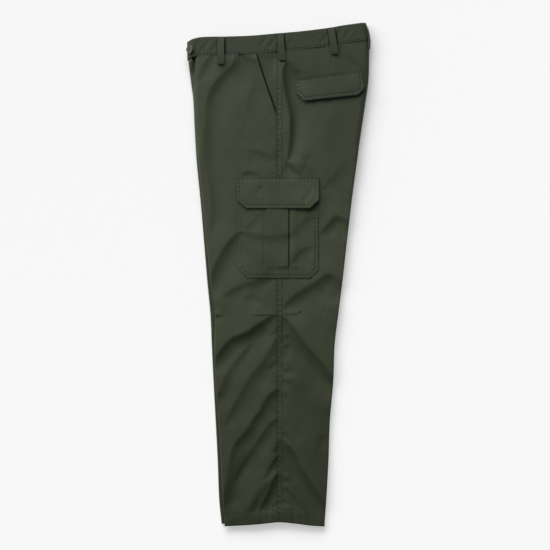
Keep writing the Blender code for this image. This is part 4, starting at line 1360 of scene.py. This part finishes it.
flap_rows = [(inset_outline(CARGO_FLAP, FLAP_STITCH), flap_top)]
for drop in FLAP_TOP_ROWS:
    left, right = CARGO_FLAP[0], CARGO_FLAP[-1]
    row_ends = [(left.x + 0.003, left.y - drop), (right.x - 0.003, right.y - drop)]
    flap_rows.append((row_ends, flap_top))
sew("cargo_flap_stitching", flap_rows)

pocket_rows = [(inset_outline(CARGO_POCKET, POCKET_STITCH), pocket_top)]
for tack_y in (0.0032, -0.0054):
    pocket_rows.append(([(PLEAT_FRONT_X, tack_y), (PLEAT_SEAT_X, tack_y)], pocket_top))
sew("cargo_pocket_stitching", pocket_rows)

sew("back_flap_stitching", [(inset_outline(BACK_FLAP, FLAP_STITCH), back_flap_top)])

# Bar tacks: a few close stitches at right angles to the pull.
Tack = namedtuple("Tack", "x y length turn face")
tacks = [
    Tack(-0.0050, 0.3390, 0.010, 60.0, leg_face),
    Tack(-0.0300, 0.4080, 0.008, 10.0, leg_face),
    Tack(0.0390, 0.4160, 0.008, 90.0, back_flap_top),
    Tack(0.1745, 0.4320, 0.008, 90.0, back_flap_top),
    Tack(-0.0860, 0.2010, 0.010, 90.0, flap_top),
    Tack(0.0830, 0.2020, 0.010, 90.0, flap_top),
]
tack_rows = []
for tack in tacks:
    heading = math.radians(tack.turn)
    step = np.array((math.cos(heading), math.sin(heading))) * 0.5 * tack.length
    for side in (-0.0005, 0.0, 0.0005):
        shift = np.array((-math.sin(heading), math.cos(heading))) * side
        centre = np.array((tack.x, tack.y)) + shift
        tack_rows.append(([centre - step, centre + step], tack.face))
sew("bar_tacks", tack_rows, pitch=0.0016, radius=0.00028)

# ------------------------------------------------
# The waist button: four-hole resin, sewn on the band's front fold.
# ------------------------------------------------

button_finish = Finish("button_resin")
button_place = button_finish.add("ShaderNodeTexCoord", {}, {}, output="Object")
swirl = button_finish.add("ShaderNodeTexNoise", {}, {"Vector": button_place, "Scale": 180.0, "Detail": 3.0})
button_resin = button_finish.shade({
    "Base Color": mix_colours(button_finish, swirl, (0.046, 0.054, 0.037, 1.0), (0.074, 0.084, 0.060, 1.0)),
    "Roughness": 0.30 + 0.15 * swirl,
    "Specular IOR Level": 0.5,
})


def dress(node, material):
    """Give a solid of the model, which shows as it is, its finish."""
    for material_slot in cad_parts[node].material_slots:
        material_slot.material = material


dress("button", button_resin)

# ------------------------------------------------
# The hidden layers: the inner halves of both legs, folded between the ones that show. Their edges are
# seen in the mouths of the legs and the waist.
# ------------------------------------------------

twill_inside = make_twill("olive_twill_inside", (0.030, 0.036, 0.024, 1.0), (0.044, 0.052, 0.036, 1.0),
                          OLIVE, 0.05)
dress("hidden_layers", twill_inside)

# ------------------------------------------------
# The table, lights and camera.
# ------------------------------------------------

FLOOR_REACH = 8.0
FLOOR_TONE = 0.94
FLOOR_LEVEL = 0.935  # the floor's brightness, evened out by its own glow
LIGHT_RISE = math.radians(27.0)
LIGHT_DISTANCE = 4.5
LIGHT_SIZE = 2.6
LIGHT_POWER = 262.0
SKY_LEVEL = 0.12
CAMERA_HEIGHT = 3.295
CAMERA_PLACE = (-0.0075, -0.0011)

# One broad light from the waist's side round to the front: its turn from +Y, and its share of the power.
Lamp = namedtuple("Lamp", "name turn share")
LAMPS = (Lamp("key_waist", 2.0, 0.45), Lamp("key_middle", 28.0, 0.30), Lamp("key_front", 58.0, 0.25))

floor_finish = Finish("pale_floor")
floor_place = floor_finish.add("ShaderNodeTexCoord", {}, {}, output="Object")
glow = FLOOR_LEVEL - FLOOR_TONE * SKY_LEVEL
for lamp in LAMPS:
    heading = math.radians(90.0 + lamp.turn)
    flat = math.cos(LIGHT_RISE)
    toward = Vector((flat * math.cos(heading), flat * math.sin(heading), math.sin(LIGHT_RISE)))
    lamp_data = bpy.data.lights.new(lamp.name, "AREA")
    lamp_data.shape = "DISK"
    lamp_data.size = LIGHT_SIZE
    lamp_data.energy = LIGHT_POWER * lamp.share
    lamp_object = bpy.data.objects.new(lamp.name, lamp_data)
    lamp_object.location = toward * LIGHT_DISTANCE
    lamp_object.rotation_euler = toward.to_track_quat("Z", "Y").to_euler()
    bpy.context.scene.collection.objects.link(lamp_object)
    # The floor's glow makes up for what this lamp gives less of, further from it.
    to_lamp = floor_finish.add("ShaderNodeVectorMath", {"operation": "DISTANCE"},
                               {0: floor_place, 1: tuple(lamp_object.location)}, output="Value")
    along = floor_finish.add("ShaderNodeVectorMath", {"operation": "DOT_PRODUCT"},
                             {0: floor_place, 1: tuple(toward)}, output="Value")
    squared = to_lamp * to_lamp
    spread = squared * (squared + 0.25 * LIGHT_SIZE ** 2)
    strength = lamp_data.energy / math.pi ** 2 * FLOOR_TONE * lamp_object.location.z
    glow = glow - strength * (LIGHT_DISTANCE - along) * (spread ** -1.0)
glow = glow.math("MAXIMUM", glow, 0.0)
mesh = bmesh.new()
bmesh.ops.create_grid(mesh, x_segments=1, y_segments=1, size=FLOOR_REACH)
bmesh.ops.translate(mesh, verts=mesh.verts[:], vec=(0.0, 0.0, -0.0002))  # just clear of the cloth's underside
floor_data = bpy.data.meshes.new("floor")
mesh.to_mesh(floor_data)
mesh.free()
floor_data.materials.append(floor_finish.shade({
    "Base Color": (FLOOR_TONE, FLOOR_TONE, FLOOR_TONE, 1.0),
    "Roughness": 1.0,
    "Specular IOR Level": 0.0,
    "Emission Color": mix_colours(floor_finish, glow, (0.0, 0.0, 0.0, 1.0), (1.0, 1.0, 1.0, 1.0)),
    "Emission Strength": 1.0,
}))
floor = bpy.data.objects.new("floor", floor_data)
bpy.context.scene.collection.objects.link(floor)

world = bpy.data.worlds.new("studio")
world.use_nodes = True
world.node_tree.nodes["Background"].inputs["Color"].default_value = (1.0, 1.0, 1.0, 1.0)
world.node_tree.nodes["Background"].inputs["Strength"].default_value = SKY_LEVEL
bpy.context.scene.world = world
bpy.context.scene.view_settings.view_transform = "Standard"

camera_data = bpy.data.cameras.new("camera")
camera_data.lens = 100.0
camera_data.sensor_width = 36.0
camera = bpy.data.objects.new("camera", camera_data)
camera.location = (CAMERA_PLACE[0], CAMERA_PLACE[1], CAMERA_HEIGHT)
bpy.context.scene.collection.objects.link(camera)
bpy.context.scene.camera = camera
